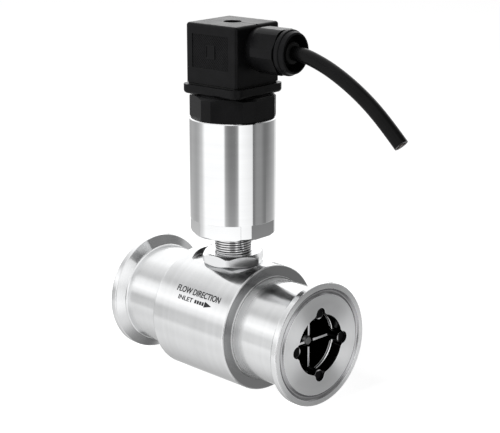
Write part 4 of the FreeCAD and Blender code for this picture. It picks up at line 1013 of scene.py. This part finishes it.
@dataclass(frozen=True)
class BoardLaminate(Finish):
    """Green circuit board with paler copper tracks under its lacquer."""

    colour: Colour = (0.012, 0.10, 0.035)
    track: Colour = (0.05, 0.24, 0.07)
    track_pitch: float = 2.4 * MM
    track_band: tuple[float, float] = (0.08, 0.12)
    jog_scale: float = 120.0
    weave_scale: float = 9000.0
    stain_scale: float = 2000.0
    relief_depth: float = 0.04 * MM

    def wire(self, coat: Coat, effects: Effects) -> None:
        """Wires the board.

        Args:
            coat: The new material.
            effects: The shared groups.
        """
        place = coat.coordinates("Object")
        x, _, z = coat.parts_of(place)
        jog = coat.maths("SNAP", coat.noise(place, self.jog_scale), 0.12)
        lane = coat.maths("PINGPONG", coat.plus(coat.maths("DIVIDE", x, self.track_pitch),
                                                coat.times(jog, 4.0)), 0.5)
        line = coat.fade(lane, *self.track_band, 1.0, 0.0)
        weave = coat.times(*(coat.maths("SINE", coat.times(side, self.weave_scale))
                             for side in (x, z)))
        slow = coat.group(effects.grain, Vector=place, Scale=self.stain_scale)["Tone"]
        base = coat.mottle(slow, self.colour, 0.8, 1.25, 0.2, 0.8)
        coat.surface(Base_Color=coat.shade(line, base, self.track),
                     Roughness=coat.fade(slow, 0.2, 0.8, 0.3, 0.45))
        coat.relief(coat.plus(line, coat.times(weave, 0.15)), 0.4, self.relief_depth)


@dataclass(frozen=True)
class EtchedMark(Finish):
    """Dark laser marking on steel, slightly broken up."""

    colour: Colour = (0.012, 0.012, 0.013)
    worn_tone: float = 4.0
    grain_scale: float = 9000.0
    grain_depth: float = 0.01 * MM

    def wire(self, coat: Coat, effects: Effects) -> None:
        """Wires the mark.

        Args:
            coat: The new material.
            effects: The shared groups.
        """
        grain = coat.group(effects.grain, Vector=coat.coordinates("Object"),
                           Scale=self.grain_scale)
        coat.surface(Base_Color=coat.mottle(grain["Tone"], self.colour, 1.0, self.worn_tone,
                                            0.35, 0.75),
                     Roughness=coat.fade(grain["Tone"], 0.2, 0.8, 0.5, 0.75),
                     Specular_IOR_Level=0.2)
        coat.relief(grain["Height"], 0.3, self.grain_depth)


# Studio ---------------------------------------------------------------------


@dataclass
class PhotoCamera:
    """The camera at the photograph's place."""

    focal_length: float = 105.757
    sensor_width: float = 36.0
    distance: float = 598.073 * MM
    elevation: float = 15.339
    target: Point = (59.965 * MM, 0.0, 44.944 * MM)

    def build(self) -> None:
        """Makes the camera and gives it to the scene."""
        turn, rise = math.radians(VIEW_AZIMUTH), math.radians(self.elevation)
        back = Vector((math.sin(turn) * math.cos(rise), -math.cos(turn) * math.cos(rise),
                       math.sin(rise)))
        data = bpy.data.cameras.new("photo_camera")
        data.lens = self.focal_length
        data.sensor_width = self.sensor_width
        data.sensor_fit = "HORIZONTAL"
        data.clip_start, data.clip_end = 0.01, 50.0
        camera = hang("photo_camera", data, Vector(self.target) + back * self.distance)
        aim(camera, -back)
        bpy.context.scene.camera = camera


Levels = tuple[tuple[float, float], ...]


@dataclass
class Studio:
    """White surroundings with the panels and gaps that shiny steel mirrors."""

    diffuse_level: float = 0.2
    key_power: float = 11.0
    key_size: float = 0.6
    key_place: Point = (-0.15, -0.75, 0.85)
    floor_half: float = 3.0
    floor_colour: Colour = (0.5, 0.5, 0.5)
    floor_glow: float = 0.85
    level_ceiling: float = 2.4
    # Rings of levels from low to high: each ring's height in degrees, then the level at each
    # angle from the line of sight, left to right.
    rings: tuple[tuple[float, Levels], ...] = (
        (-58.0, ((-180, 0.52), (-147, 0.68), (-103, 1.08), (-60, 1.2), (10, 0.8), (43, 0.4),
                 (60, 0.32), (81, 0.26), (103, 0.14), (118, 0.16), (126, 0.8), (150, 0.75),
                 (180, 0.52))),
        (-38.0, ((-180, 0.52), (-167, 0.54), (-147, 0.68), (-124, 0.88), (-103, 1.08),
                 (-60, 1.2), (-20, 0.95), (15, 0.95), (50, 1.1), (70, 0.75), (110, 0.6),
                 (150, 0.75), (180, 0.52))),
        (-19.0, ((-180, 1.2), (-165, 1.1), (-150, 0.85), (-138, 0.74), (-126, 0.62),
                 (-114, 0.60), (-104, 0.68), (-97, 1.1), (-90, 1.2), (-78, 1.5), (-24, 1.5),
                 (-19, 0.95), (-8, 0.62), (4, 0.62), (12, 0.8), (18, 1.5), (46, 1.45),
                 (53, 1.3), (56, 0.25), (60, 0.3), (64, 0.42), (83, 0.42), (95, 0.32),
                 (104, 0.6), (126, 0.66), (141, 0.91), (153, 1.18), (165, 1.42), (180, 1.2))),
        (-12.0, ((-180, 0.40), (-170, 0.42), (-162, 0.50), (-150, 0.46), (-138, 0.55),
                 (-126, 0.54), (-114, 0.51), (-102, 0.60), (-90, 0.85), (-79, 1.5), (-24, 1.5),
                 (-19, 0.45), (-12, 0.3), (-4, 0.25), (6, 0.27), (13, 0.45), (18, 1.5),
                 (44, 1.25), (53, 1.15), (56, 0.17), (60, 0.30), (68, 0.39), (80, 0.38),
                 (92, 0.24), (103, 0.24), (116, 0.36), (129, 0.48), (141, 0.60), (152, 1.05),
                 (166, 1.0), (173, 0.6), (180, 0.40))),
        (-2.0, ((-180, 0.35), (-165, 0.45), (-140, 0.6), (-110, 0.5), (-97, 0.5), (-92, 0.72),
                (-87, 1.1), (-80, 1.3), (-28, 1.4), (-18, 0.5), (8, 0.35), (18, 1.3),
                (50, 1.1), (57, 0.25), (100, 0.25), (125, 0.5), (150, 0.9), (168, 0.6),
                (180, 0.35))),
        (6.0, ((-180, 2.3), (-155, 2.3), (-140, 1.5), (-110, 1.0), (-94, 1.25), (-60, 1.5),
               (-25, 1.5), (-10, 0.8), (10, 0.8), (22, 1.5), (52, 1.3), (58, 0.4),
               (100, 0.35), (130, 0.7), (150, 1.4), (160, 2.3), (180, 2.3))),
        (13.0, ((-180, 2.3), (-155, 2.3), (-135, 1.6), (-94, 1.6), (-60, 1.5), (-25, 1.5),
                (-10, 1.1), (10, 1.1), (25, 1.5), (52, 1.4), (60, 0.5), (100, 0.3),
                (116, 0.25), (130, 0.9), (150, 1.5), (160, 2.3), (180, 2.3))),
        (22.0, ((-180, 2.0), (-150, 2.0), (-130, 1.5), (-110, 1.5), (-96, 1.35), (-40, 1.4),
                (48, 1.2), (64, 0.5), (100, 0.25), (118, 0.2), (140, 1.4), (155, 2.0),
                (180, 2.0))),
        (31.0, ((-180, 1.5), (-138, 1.5), (-116, 0.85), (-104, 0.66), (-98, 0.82), (-60, 1.1),
                (0, 1.3), (20, 1.1), (38, 0.25), (110, 0.25), (135, 1.2), (180, 1.5))),
        (44.0, ((-180, 1.5), (-140, 1.5), (-122, 1.05), (-105, 1.0), (-60, 1.2), (0, 1.3),
                (20, 1.1), (38, 0.15), (110, 0.15), (135, 1.2), (180, 1.5))),
        (62.0, ((-180, 1.45), (0, 1.3), (40, 0.5), (110, 0.5), (150, 1.45), (180, 1.45))),
    )

    def ring_level(self, wiring: Wiring, heading: Socket, levels: Levels) -> Socket:
        """Looks up one ring's level.

        Args:
            wiring: The world's wiring.
            heading: The angle from the line of sight, from 0 to 1 for a full round.
            levels: Angles in degrees and their levels.

        Returns:
            The level as a share of the ceiling.
        """
        made = wiring.node("ShaderNodeValToRGB")
        wiring.feed(made.inputs[0], heading)
        stops = made.color_ramp.elements
        while len(stops) < len(levels):
            stops.new(0.5)
        for stop, (angle, level) in zip(stops, levels):
            stop.position = 0.5 + angle / 360.0
            shade = level / self.level_ceiling
            stop.color = (shade, shade, shade, 1.0)
        return made.outputs["Color"]

    def build_world(self) -> None:
        """Makes the world: white to the eye, panels to polished metal."""
        world = bpy.data.worlds.new("studio")
        world.use_nodes = True
        world.node_tree.nodes.clear()
        bpy.context.scene.world = world
        wiring = Wiring(world.node_tree)
        x, y, z = wiring.parts_of(wiring.coordinates("Generated"))
        turn = wiring.maths("ARCTAN2", x, wiring.times(y, -1.0))
        degrees = wiring.minus(wiring.maths("DEGREES", turn), VIEW_AZIMUTH)
        wrapped = wiring.maths("WRAP", degrees, 180.0, -180.0)
        heading = wiring.maths("MULTIPLY_ADD", wrapped, 1 / 360.0, 0.5)
        rise = wiring.maths("DEGREES", wiring.maths("ARCSINE", z))
        height, levels = self.rings[0]
        studio = self.ring_level(wiring, heading, levels)
        for upper, levels in self.rings[1:]:
            studio = wiring.shade(wiring.fade(rise, height, upper), studio,
                                  self.ring_level(wiring, heading, levels))
            height = upper
        glossy = wiring.ray_is("Glossy")
        level = wiring.plus(wiring.times(wiring.times(studio, self.level_ceiling), glossy),
                            wiring.times(self.diffuse_level, wiring.minus(1.0, glossy)))
        background = wiring.node("ShaderNodeBackground")
        wiring.feed(background.inputs["Color"], WHITE)
        wiring.feed(background.inputs["Strength"],
                    wiring.maths("MAXIMUM", level, wiring.ray_is("Camera", "Transmission")))
        wiring.feed(wiring.node("ShaderNodeOutputWorld").inputs["Surface"],
                    background.outputs["Background"])
        world.cycles.sampling_method = "NONE"

    def build_lamp(self) -> None:
        """Hangs one broad soft lamp above and to the left of the camera."""
        data = bpy.data.lights.new("key_panel", "AREA")
        data.energy = self.key_power
        data.size = self.key_size
        lamp = hang("key_panel", data, self.key_place)
        aim(lamp, HEAD_CENTRE - lamp.location)
        lamp.visible_glossy = False

    def build_floor(self) -> None:
        """Lays the pale floor under the meter."""
        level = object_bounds()[0].z
        deselect_all()
        bpy.ops.mesh.primitive_plane_add(size=2 * self.floor_half,
                                         location=(HEAD_CENTRE.x, HEAD_CENTRE.y, level))
        floor = settle_place(name_piece(bpy.context.object, "floor"))
        coat = Coat("pale_floor")
        seen = coat.ray_is("Camera", "Glossy", "Transmission")
        coat.surface(Base_Color=(*self.floor_colour, 1.0), Roughness=1.0, Specular_IOR_Level=0.0,
                     Emission_Color=WHITE, Emission_Strength=coat.times(seen, self.floor_glow))
        coat_with(floor, coat.made)
        floor.visible_glossy = False
        floor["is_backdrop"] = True

    def build(self) -> None:
        """Sets the studio up."""
        self.build_world()
        self.build_lamp()
        self.build_floor()
        bpy.context.scene.view_settings.view_transform = "Standard"


# Cable ----------------------------------------------------------------------


@dataclass
class CableStub:
    """The short free cable that leaves the gland, and the cores at its cut end."""

    radius: float = 2.9 * MM
    length: float = 63.1 * MM
    route: tuple[Point, ...] = (
        (0.078264, 0.002771, 0.113900),
        (0.083639, 0.003298, 0.113900),
        (0.089212, 0.003845, 0.112950),
        (0.099363, 0.004840, 0.109300),
        (0.111206, 0.006001, 0.102800),
        (0.122751, 0.007133, 0.094100),
        (0.132007, 0.008041, 0.084700),
    )
    ring_segments: int = 8
    steps_per_point: int = 12
    core_count: int = 3
    core_sides: int = 24
    core_radius: float = 0.95 * MM
    core_ring: float = 1.15 * MM
    core_turn: float = 0.4
    core_depth: float = 0.8 * MM
    core_stand: float = 0.12 * MM
    core_inset: float = 0.42 * MM
    core_bevel: float = 0.05 * MM
    copper_stand: float = 0.08 * MM

    def lay_jacket(self, jacket: Material) -> Piece:
        """Lays the jacket along the route.

        Args:
            jacket: The jacket's material.

        Returns:
            The cable.
        """
        data = bpy.data.curves.new("cable_jacket", "CURVE")
        data.dimensions = "3D"
        data.bevel_depth = self.radius
        data.bevel_resolution = self.ring_segments
        data.use_fill_caps = True
        spline = data.splines.new("NURBS")
        spline.points.add(len(self.route) - 1)
        for point, place in zip(spline.points, self.route):
            point.co = (*place, 1.0)
        spline.order_u = 3
        spline.use_endpoint_u = True
        spline.resolution_u = self.steps_per_point
        cable = hang("cable_jacket", data)
        coat_with(cable, jacket)
        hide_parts("cable")
        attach(cable, "plug")
        return cable

    def cut_cores(self, insulation: Material, copper: Material) -> Piece:
        """Models the cut ends of the insulated cores.

        Args:
            insulation: The material of their insulation.
            copper: The material of their conductors.

        Returns:
            The piece.
        """
        end = Vector(self.route[-1])
        heading = (end - Vector(self.route[-2])).normalized()
        turned = heading.to_track_quat("Z", "Y").to_matrix().to_4x4()
        deselect_all()
        bpy.ops.mesh.primitive_cylinder_add(vertices=self.core_sides, radius=self.core_radius,
                                            depth=self.core_depth + self.core_stand)
        first = bpy.context.object
        first.data.transform(
            Matrix.Translation((0.0, 0.0, (self.core_stand - self.core_depth) / 2)))
        coat_with(first, insulation, copper)
        edit(first)
        pick_faces(first, lambda centre, normal: normal.z > 0.9)
        bpy.ops.mesh.inset(thickness=self.core_inset, depth=0.0)
        first.active_material_index = 1
        bpy.ops.object.material_slot_assign()
        bpy.ops.mesh.extrude_region_move(
            TRANSFORM_OT_translate={"value": (0.0, 0.0, self.copper_stand)})
        leave_edit()
        apply_modifier(first, "BEVEL", width=self.core_bevel, segments=2, limit_method="ANGLE")
        ends = []
        for index in range(self.core_count):
            angle = FULL_TURN * index / self.core_count + self.core_turn
            ends.append(copy_of(first, Vector((self.core_ring * math.cos(angle),
                                               self.core_ring * math.sin(angle), 0.0))))
        bpy.data.objects.remove(first)
        cores = join(ends, "cable_core_ends")
        cores.matrix_world = Matrix.Translation(end) @ turned
        settle_place(cores)
        turn_out(cores)
        smooth(cores)
        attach(cores, "plug")
        return cores


# Thread, rings, hatching and marking ------------------------------------------


@dataclass
class StemThread:
    """The screw thread on the bare stretch of stem between nut and housing."""

    root_radius: float = 7.36 * MM
    crest_radius: float = 7.72 * MM
    pitch: float = 1.0 * MM
    root_half: float = 0.45 * MM
    crest_half: float = 0.24 * MM
    end_half: float = 0.30 * MM
    start_turn: float = -105.0
    steps_per_turn: int = 72
    sharp: float = 25.0

    def build(self, steel: Material) -> Piece:
        """Winds the ridge up the stem.

        Args:
            steel: The thread's material.

        Returns:
            The piece.
        """
        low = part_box("lock_nut")[1].z + self.end_half
        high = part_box("housing_shell")[0].z - self.end_half
        turns = (high - low) / self.pitch
        deselect_all()
        bpy.ops.mesh.primitive_plane_add(size=1.0, rotation=(math.pi / 2, 0.0, 0.0))
        thread = settle_place(name_piece(bpy.context.object, "stem_thread"))
        for corner in thread.data.vertices:
            outer = corner.co.x > 0.0
            half = self.crest_half if outer else self.root_half
            corner.co = (self.crest_radius if outer else self.root_radius, 0.0,
                         half if corner.co.z > 0.0 else -half)
        steps = round(turns * self.steps_per_turn)
        apply_modifier(thread, "SCREW", axis="Z", angle=FULL_TURN * turns,
                       screw_offset=self.pitch * turns, iterations=1, steps=steps,
                       render_steps=steps, use_merge_vertices=False)
        edit(thread, "SELECT")
        bpy.ops.mesh.fill_holes(sides=6)
        leave_edit()
        thread.matrix_world = Matrix.Translation(HEAD_FOOT + Vector((0.0, 0.0, low))) @ (
            Matrix.Rotation(math.radians(self.start_turn), 4, "Z"))
        settle_place(thread)
        turn_out(thread)
        smooth(thread, self.sharp)
        coat_with(thread, steel)
        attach(thread, "meter")
        return thread


@dataclass
class RingPair:
    """A turned ring at each end of the body, both from one profile."""

    kind: ClassVar[str]

    def profile(self) -> list[tuple[float, float]]:
        """Lists the profile's corners as distance from the middle and from the axis."""
        raise NotImplementedError

    def build(self, steel: Material) -> list[Piece]:
        """Turns the inlet's ring and the outlet's.

        Args:
            steel: The rings' material.

        Returns:
            The two pieces.
        """
        pieces = []
        for side, end in ((-1.0, "inlet"), (1.0, "outlet")):
            ring = spin_ring(f"{end}_{self.kind}", [(BODY_MIDDLE.x + side * along, reach)
                                                    for along, reach in self.profile()])
            coat_with(ring, steel)
            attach(ring, "meter")
            pieces.append(ring)
        return pieces


@dataclass
class RootFillet(RingPair):
    """The small turned radius where a tube grows out of the barrel's shoulder."""

    kind: ClassVar[str] = "root_fillet"
    tube_radius: float = 21.0 * MM
    size: float = 0.9 * MM
    sunk: float = 0.06 * MM
    arc_steps: int = 8

    def profile(self) -> list[tuple[float, float]]:
        """Lists the fillet's corners as distance from the middle and from the axis.

        Returns:
            The corners in order.
        """
        start, root = BARREL_HALF, self.tube_radius
        corners = [(start - self.sunk, root - self.sunk), (start + self.size, root - self.sunk)]
        for index in range(self.arc_steps + 1):
            angle = math.pi / 2 * index / self.arc_steps
            corners.append((start + self.size * (1 - math.sin(angle)),
                            root + self.size * (1 - math.cos(angle))))
        return corners + [(start - self.sunk, root + self.size)]


@dataclass
class GrooveLining(RingPair):
    """The rounded floor of the seal groove in each clamp face."""

    kind: ClassVar[str] = "groove_lining"
    inner_radius: float = 20.7 * MM
    outer_radius: float = 23.0 * MM
    groove_depth: float = 1.3 * MM
    face_half: float = 50.0 * MM
    gap: float = 0.02 * MM
    lip: float = 0.06 * MM
    hollow: float = 0.85 * MM
    arc_steps: int = 12

    def profile(self) -> list[tuple[float, float]]:
        """Lists the lining's corners as distance from the middle and from the axis.

        Returns:
            The corners in order.
        """
        floor = self.face_half - self.groove_depth + self.gap
        inner, outer = self.inner_radius + self.gap, self.outer_radius - self.gap
        corners = [(floor, inner), (floor, outer)]
        for index in range(self.arc_steps + 1):
            share = index / self.arc_steps
            corners.append((self.face_half - self.lip - self.hollow * math.sin(math.pi * share),
                            outer + (inner - outer) * share))
        return corners


@dataclass
class PanelHatching:
    """The slanting grip ribs in the two sunk panels of the plug cap."""

    left: float = -9.75 * MM
    right: float = 9.05 * MM
    bottom: float = 105.9 * MM
    top: float = 119.4 * MM
    floor: float = 12.95 * MM
    rib_height: float = 0.2 * MM
    rib_width: float = 0.46 * MM
    rib_pitch: float = 0.85 * MM
    rib_bevel: float = 0.1 * MM
    sunk: float = 0.03 * MM
    margin: float = 0.25 * MM
    badge_half_width: float = 2.4 * MM
    badge_half_height: float = 2.7 * MM
    badge_gap: float = 0.35 * MM
    badge_depth: float = 2.0 * MM
    slant: float = 45.0

    def all_ribs(self) -> Piece:
        """Models one rib and repeats it over the whole panel.

        Returns:
            The joined ribs, standing up from the plane Y = 0 towards -Y.
        """
        span = math.hypot(self.right - self.left, self.top - self.bottom)
        deselect_all()
        bpy.ops.mesh.primitive_cube_add(size=1.0)
        rib = bpy.context.object
        rib.scale = (span, self.rib_height + self.sunk, self.rib_width)
        rib.location = (0.0, -(self.rib_height - self.sunk) / 2, 0.0)
        settle_place(rib)
        edit(rib)
        pick_faces(rib, lambda centre, normal: normal.y < -0.9)
        bpy.ops.mesh.bevel(offset=self.rib_bevel, segments=2, affect="EDGES")
        leave_edit()
        step = Vector((0.0, 0.0, self.rib_pitch))
        count = math.ceil(span / self.rib_pitch / 2)
        ribs = join([copy_of(rib, step * index) for index in range(-count, count + 1)],
                    "panel_ribs")
        bpy.data.objects.remove(rib)
        ribs.matrix_world = Matrix.Rotation(math.radians(self.slant), 4, "Y")
        return settle_place(ribs)

    def hatching(self) -> Piece:
        """Trims the ribs to the panel and clears the place of the raised field.

        Returns:
            The ribs of one panel, standing up from the plane Y = 0 towards -Y.
        """
        ribs = self.all_ribs()
        centre = Vector(((self.left + self.right) / 2, 0.0, (self.bottom + self.top) / 2))
        ribs.data.transform(Matrix.Translation(centre))
        for side, edge in ((-1.0, self.left + self.margin), (1.0, self.right - self.margin)):
            trim(ribs, (edge, 0.0, 0.0), (side, 0.0, 0.0))
        for side, edge in ((-1.0, self.bottom + self.margin), (1.0, self.top - self.margin)):
            trim(ribs, (0.0, 0.0, edge), (0.0, 0.0, side))
        turn_out(ribs)
        deselect_all()
        bpy.ops.mesh.primitive_cube_add(size=1.0, location=centre)
        field = bpy.context.object
        field.scale = (2 * (self.badge_half_width + self.badge_gap), self.badge_depth,
                       2 * (self.badge_half_height + self.badge_gap))
        settle_place(field)
        apply_modifier(ribs, "BOOLEAN", operation="DIFFERENCE", solver="EXACT", object=field)
        bpy.data.objects.remove(field)
        return ribs

    def build(self, plastic: Material) -> list[Piece]:
        """Models the ribs of both panels.

        Args:
            plastic: The cap's material.

        Returns:
            The two pieces.
        """
        pattern = self.hatching()
        head = Matrix.Translation(HEAD_FOOT) @ Matrix.Rotation(HEAD_TURN, 4, "Z")
        pieces = []
        for side, name in ((-1.0, "front_panel_ribs"), (1.0, "back_panel_ribs")):
            ribs = name_piece(copy_of(pattern, Vector((0.0, 0.0, 0.0))), name)
            ribs.matrix_world = head @ Matrix.Translation((0.0, side * self.floor, 0.0)) @ (
                Matrix.Scale(-side, 4, (0.0, 1.0, 0.0)))
            settle_place(ribs)
            turn_out(ribs)
            coat_with(ribs, plastic)
            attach(ribs, "plug")
            pieces.append(ribs)
        bpy.data.objects.remove(pattern)
        return pieces


@dataclass
class FlowMark:
    """The etched flow direction on the front of the barrel."""

    barrel_radius: float = 26.25 * MM
    rise: float = 32.0
    left: float = 39.6 * MM
    title: str = "FLOW DIRECTION"
    title_length: float = 25.4 * MM
    title_height: float = 2.7 * MM
    title_line: float = 0.0
    start_word: str = "INLET"
    start_left: float = 2.3 * MM
    start_length: float = 8.6 * MM
    word_height: float = 1.9 * MM
    word_line: float = -3.16 * MM
    bars_left: float = 12.0 * MM
    bar_width: float = 1.05 * MM
    bar_pitch: float = 1.45 * MM
    bar_height: float = 1.5 * MM
    bar_count: int = 4
    arrow_length: float = 4.1 * MM
    arrow_height: float = 2.5 * MM
    arrow_tip: float = 0.05 * MM
    boldness: float = 0.02
    strip: float = 0.4 * MM
    clearance: float = 0.2 * MM
    stand: float = 0.03 * MM
    depth: float = 0.02 * MM

    def lettering(self, words: str, left: float, line: float, height: float,
                  length: float) -> Piece:
        """Sets a line of capitals as a flat mesh.

        Args:
            words: What it says.
            left: Where it starts.
            line: How high its foot stands.
            height: The height of its capitals.
            length: Its length.

        Returns:
            The flat mesh.
        """
        deselect_all()
        bpy.ops.object.text_add()
        text = bpy.context.object
        text.data.body = words
        text.data.offset = self.boldness
        bpy.ops.object.convert(target="MESH")
        flat = bpy.context.object
        low = min(vertex.co.x for vertex in flat.data.vertices)
        foot = min(vertex.co.y for vertex in flat.data.vertices)
        flat.scale = (length / flat.dimensions.x, height / flat.dimensions.y, 1.0)
        flat.data.transform(Matrix.Translation((-low, -foot, 0.0)))
        flat.location = (left, line, 0.0)
        return settle_place(flat)

    def bar(self, left: float, length: float, height: float, point: float) -> Piece:
        """Models a flat bar whose right end may come to a point.

        Args:
            left: Where it starts.
            length: Its length.
            height: Its height on the left.
            point: Its height on the right.

        Returns:
            The flat mesh.
        """
        deselect_all()
        bpy.ops.mesh.primitive_plane_add(size=1.0)
        flat = bpy.context.object
        middle_line = self.word_line + self.word_height / 2
        for corner in flat.data.vertices:
            tall = height if corner.co.x < 0.0 else point
            corner.co = (left if corner.co.x < 0.0 else left + length,
                         middle_line + (tall / 2 if corner.co.y > 0.0 else -tall / 2), 0.0)
        return flat

    def flat_mark(self) -> Piece:
        """Sets the words and the arrow flat and cuts them into strips that can bend.

        Returns:
            The flat mesh.
        """
        flats = [
            self.lettering(self.title, 0.0, self.title_line, self.title_height,
                           self.title_length),
            self.lettering(self.start_word, self.start_left, self.word_line, self.word_height,
                           self.start_length),
        ]
        lefts = [self.bars_left + index * self.bar_pitch for index in range(self.bar_count + 1)]
        for left in lefts[:-1]:
            flats.append(self.bar(left, self.bar_width, self.bar_height, self.bar_height))
        flats.append(self.bar(lefts[-1], self.arrow_length, self.arrow_height, self.arrow_tip))
        mark = join(flats, "flow_direction_mark")
        edit(mark)
        level = self.word_line - self.arrow_height
        while level < self.title_line + self.title_height:
            bpy.ops.mesh.select_all(action="SELECT")
            bpy.ops.mesh.bisect(plane_co=(0.0, level, 0.0), plane_no=(0.0, 1.0, 0.0))
            level += self.strip
        leave_edit()
        return mark

    def build(self, ink: Material) -> Piece:
        """Lays the mark round the barrel.

        Args:
            ink: The mark's material.

        Returns:
            The piece.
        """
        mark = self.flat_mark()
        lean = math.radians(self.rise)
        across = Vector((1.0, 0.0, 0.0))
        upward = Vector((0.0, math.sin(lean), math.cos(lean)))
        outward = Vector((0.0, -math.cos(lean), math.sin(lean)))
        place = Matrix((across, upward, outward)).transposed().to_4x4()
        place.translation = outward * (self.barrel_radius + self.clearance) + across * self.left
        mark.matrix_world = place
        settle_place(mark)
        apply_modifier(mark, "SHRINKWRAP", target=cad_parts["meter_body"],
                       wrap_method="NEAREST_SURFACEPOINT", wrap_mode="ABOVE_SURFACE",
                       offset=self.stand)
        apply_modifier(mark, "SOLIDIFY", thickness=self.depth, offset=1.0)
        turn_out(mark)
        coat_with(mark, ink)
        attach(mark, "meter")
        return mark


# Dressing -------------------------------------------------------------------


def finish_for_nodes() -> dict[str, Finish]:
    """Says which finish each carried-over solid gets.

    Returns:
        A finish for every node's name.
    """
    upright = partial(TurnedSteel, turning=Turning.PICKUP)
    table = (
        (BodySteel("body_steel", roughness=0.14, stretch=0.97, face_roughness=0.46,
                   edge_round=0.55 * MM), "meter_body"),
        # The housing's underside gets painted shade, which the barrel mirrors under the nut.
        (upright("housing_steel", roughness=0.06, contrast=0.03, stretch=0.2,
                 underside_tone=0.15), "housing_shell"),
        (upright("nut_steel", roughness=0.3, stretch=0.0, face_roughness=0.2), "lock_nut"),
        (upright("stem_steel", roughness=0.1, stretch=0.2, colour=(0.58, 0.58, 0.585),
                 edge_round=0.03 * MM, root_radius=7.45 * MM, crest_radius=7.68 * MM),
         "pickup_stem"),
        (TurnedSteel("spring_steel", colour=(0.9, 0.9, 0.9), roughness=0.14, stretch=0.0),
         "inlet_retaining_ring outlet_retaining_ring"),
        (TurnedSteel("rotor_steel", colour=(0.42, 0.42, 0.43), roughness=0.25), "rotor"),
        (TurnedSteel("carbide", colour=(0.22, 0.22, 0.24), roughness=0.2),
         "inlet_bearing_bush inlet_thrust_pad outlet_bearing_bush outlet_thrust_pad rotor_shaft"),
        (GuideSteelWithPaintedLight("guide_steel"),
         "inlet_guide_hub inlet_guide_vanes outlet_guide_hub outlet_guide_vanes"),
        (upright("magnet_nickel", roughness=0.16), "pole_piece pickup_magnet"),
        (upright("screw_steel", colour=(0.55, 0.54, 0.50), roughness=0.22),
         "terminal_screws fixing_screw screw_washer"),
        (upright("contact_plate", colour=(0.72, 0.71, 0.67), roughness=0.2), "contact_blades"),
        (WoundWire("winding_copper"), "coil_winding"),
        (BoardLaminate("board_green"), "circuit_board"),
        # The higher edge tone lightens the cap's edges as painted highlights as well as rubbed
        # wear.
        (Moulding("black_polyamide", edge_tone=3.5),
         "board_header connector_base plug_cap terminal_block gland_washer"),
        (Moulding("black_gloss", roughness=0.34, relief=0.12), "gland_nut"),
        (Moulding("seal_rubber", colour=(0.012, 0.012, 0.012), roughness=0.6, sheen=0.1),
         "housing_seal_ring plug_gasket"),
        (Moulding("grey_rubber", colour=(0.014, 0.014, 0.014), roughness=0.55), "gland_seal"),
        (Moulding("bobbin_plastic", colour=(0.35, 0.33, 0.27), roughness=0.5, edge_tone=1.3),
         "coil_bobbin"),
        (Moulding("core_insulation", colour=(0.35, 0.03, 0.02), roughness=0.4, edge_tone=1.3),
         "pickup_leads"),
        (Moulding("chip_black", colour=(0.012, 0.012, 0.013)), "amplifier_chip"),
        (Moulding("capacitor_can", colour=(0.02, 0.03, 0.10), roughness=0.3, edge_tone=2.0),
         "smoothing_capacitor"),
        (Moulding("cable_jacket_inner", colour=(0.008, 0.008, 0.009)), "cable_tail"),
        (Moulding("core_brown", colour=(0.03, 0.02, 0.015), roughness=0.4), "cable_cores"),
    )
    return {node: finish for finish, nodes in table for node in nodes.split()}


def dress_nodes(effects: Effects) -> dict[str, Material]:
    """Gives every carried-over solid its finish.

    Args:
        effects: The shared groups.

    Returns:
        The materials by name.
    """
    # Darker steel in the seal groove as painted shade.
    groove = TurnedSteel("shaded_groove_steel", colour=(0.42, 0.42, 0.43), roughness=0.16,
                         stretch=0.95, face_roughness=0.34)
    made = {groove.name: groove.material(effects)}
    finishes = finish_for_nodes()
    for node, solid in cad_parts.items():
        if node == "cable":
            continue
        finish = finishes[node]
        if finish.name not in made:
            made[finish.name] = finish.material(effects)
        coat_with(solid, made[finish.name])
        log.info("dressed %s in %s", node, finish.name)
    return made


def main() -> None:
    """Builds the camera, the finishes, the new pieces and the studio in order."""
    PhotoCamera().build()
    effects = Effects()
    materials = dress_nodes(effects)
    cable = CableStub()
    copper = WoundWire("core_strands", colour=(0.16, 0.12, 0.10), pitch=0.2 * MM)
    cores = cable.cut_cores(materials["core_brown"], copper.material(effects))
    jacket = Moulding("cable_jacket", colour=(0.004, 0.004, 0.0042), roughness=0.27,
                      grain_scale=3000.0, relief=0.06)
    pieces = [cores, cable.lay_jacket(jacket.material(effects))]
    pieces.append(StemThread().build(materials["stem_steel"]))
    pieces.extend(RootFillet().build(materials["body_steel"]))
    pieces.extend(GrooveLining().build(materials["shaded_groove_steel"]))
    pieces.extend(PanelHatching().build(materials["black_polyamide"]))
    pieces.append(FlowMark().build(EtchedMark("flow_mark").material(effects)))
    for piece in pieces:
        log.info("built %s", piece.name)
    Studio().build()


if __name__ == "__main__":
    main()
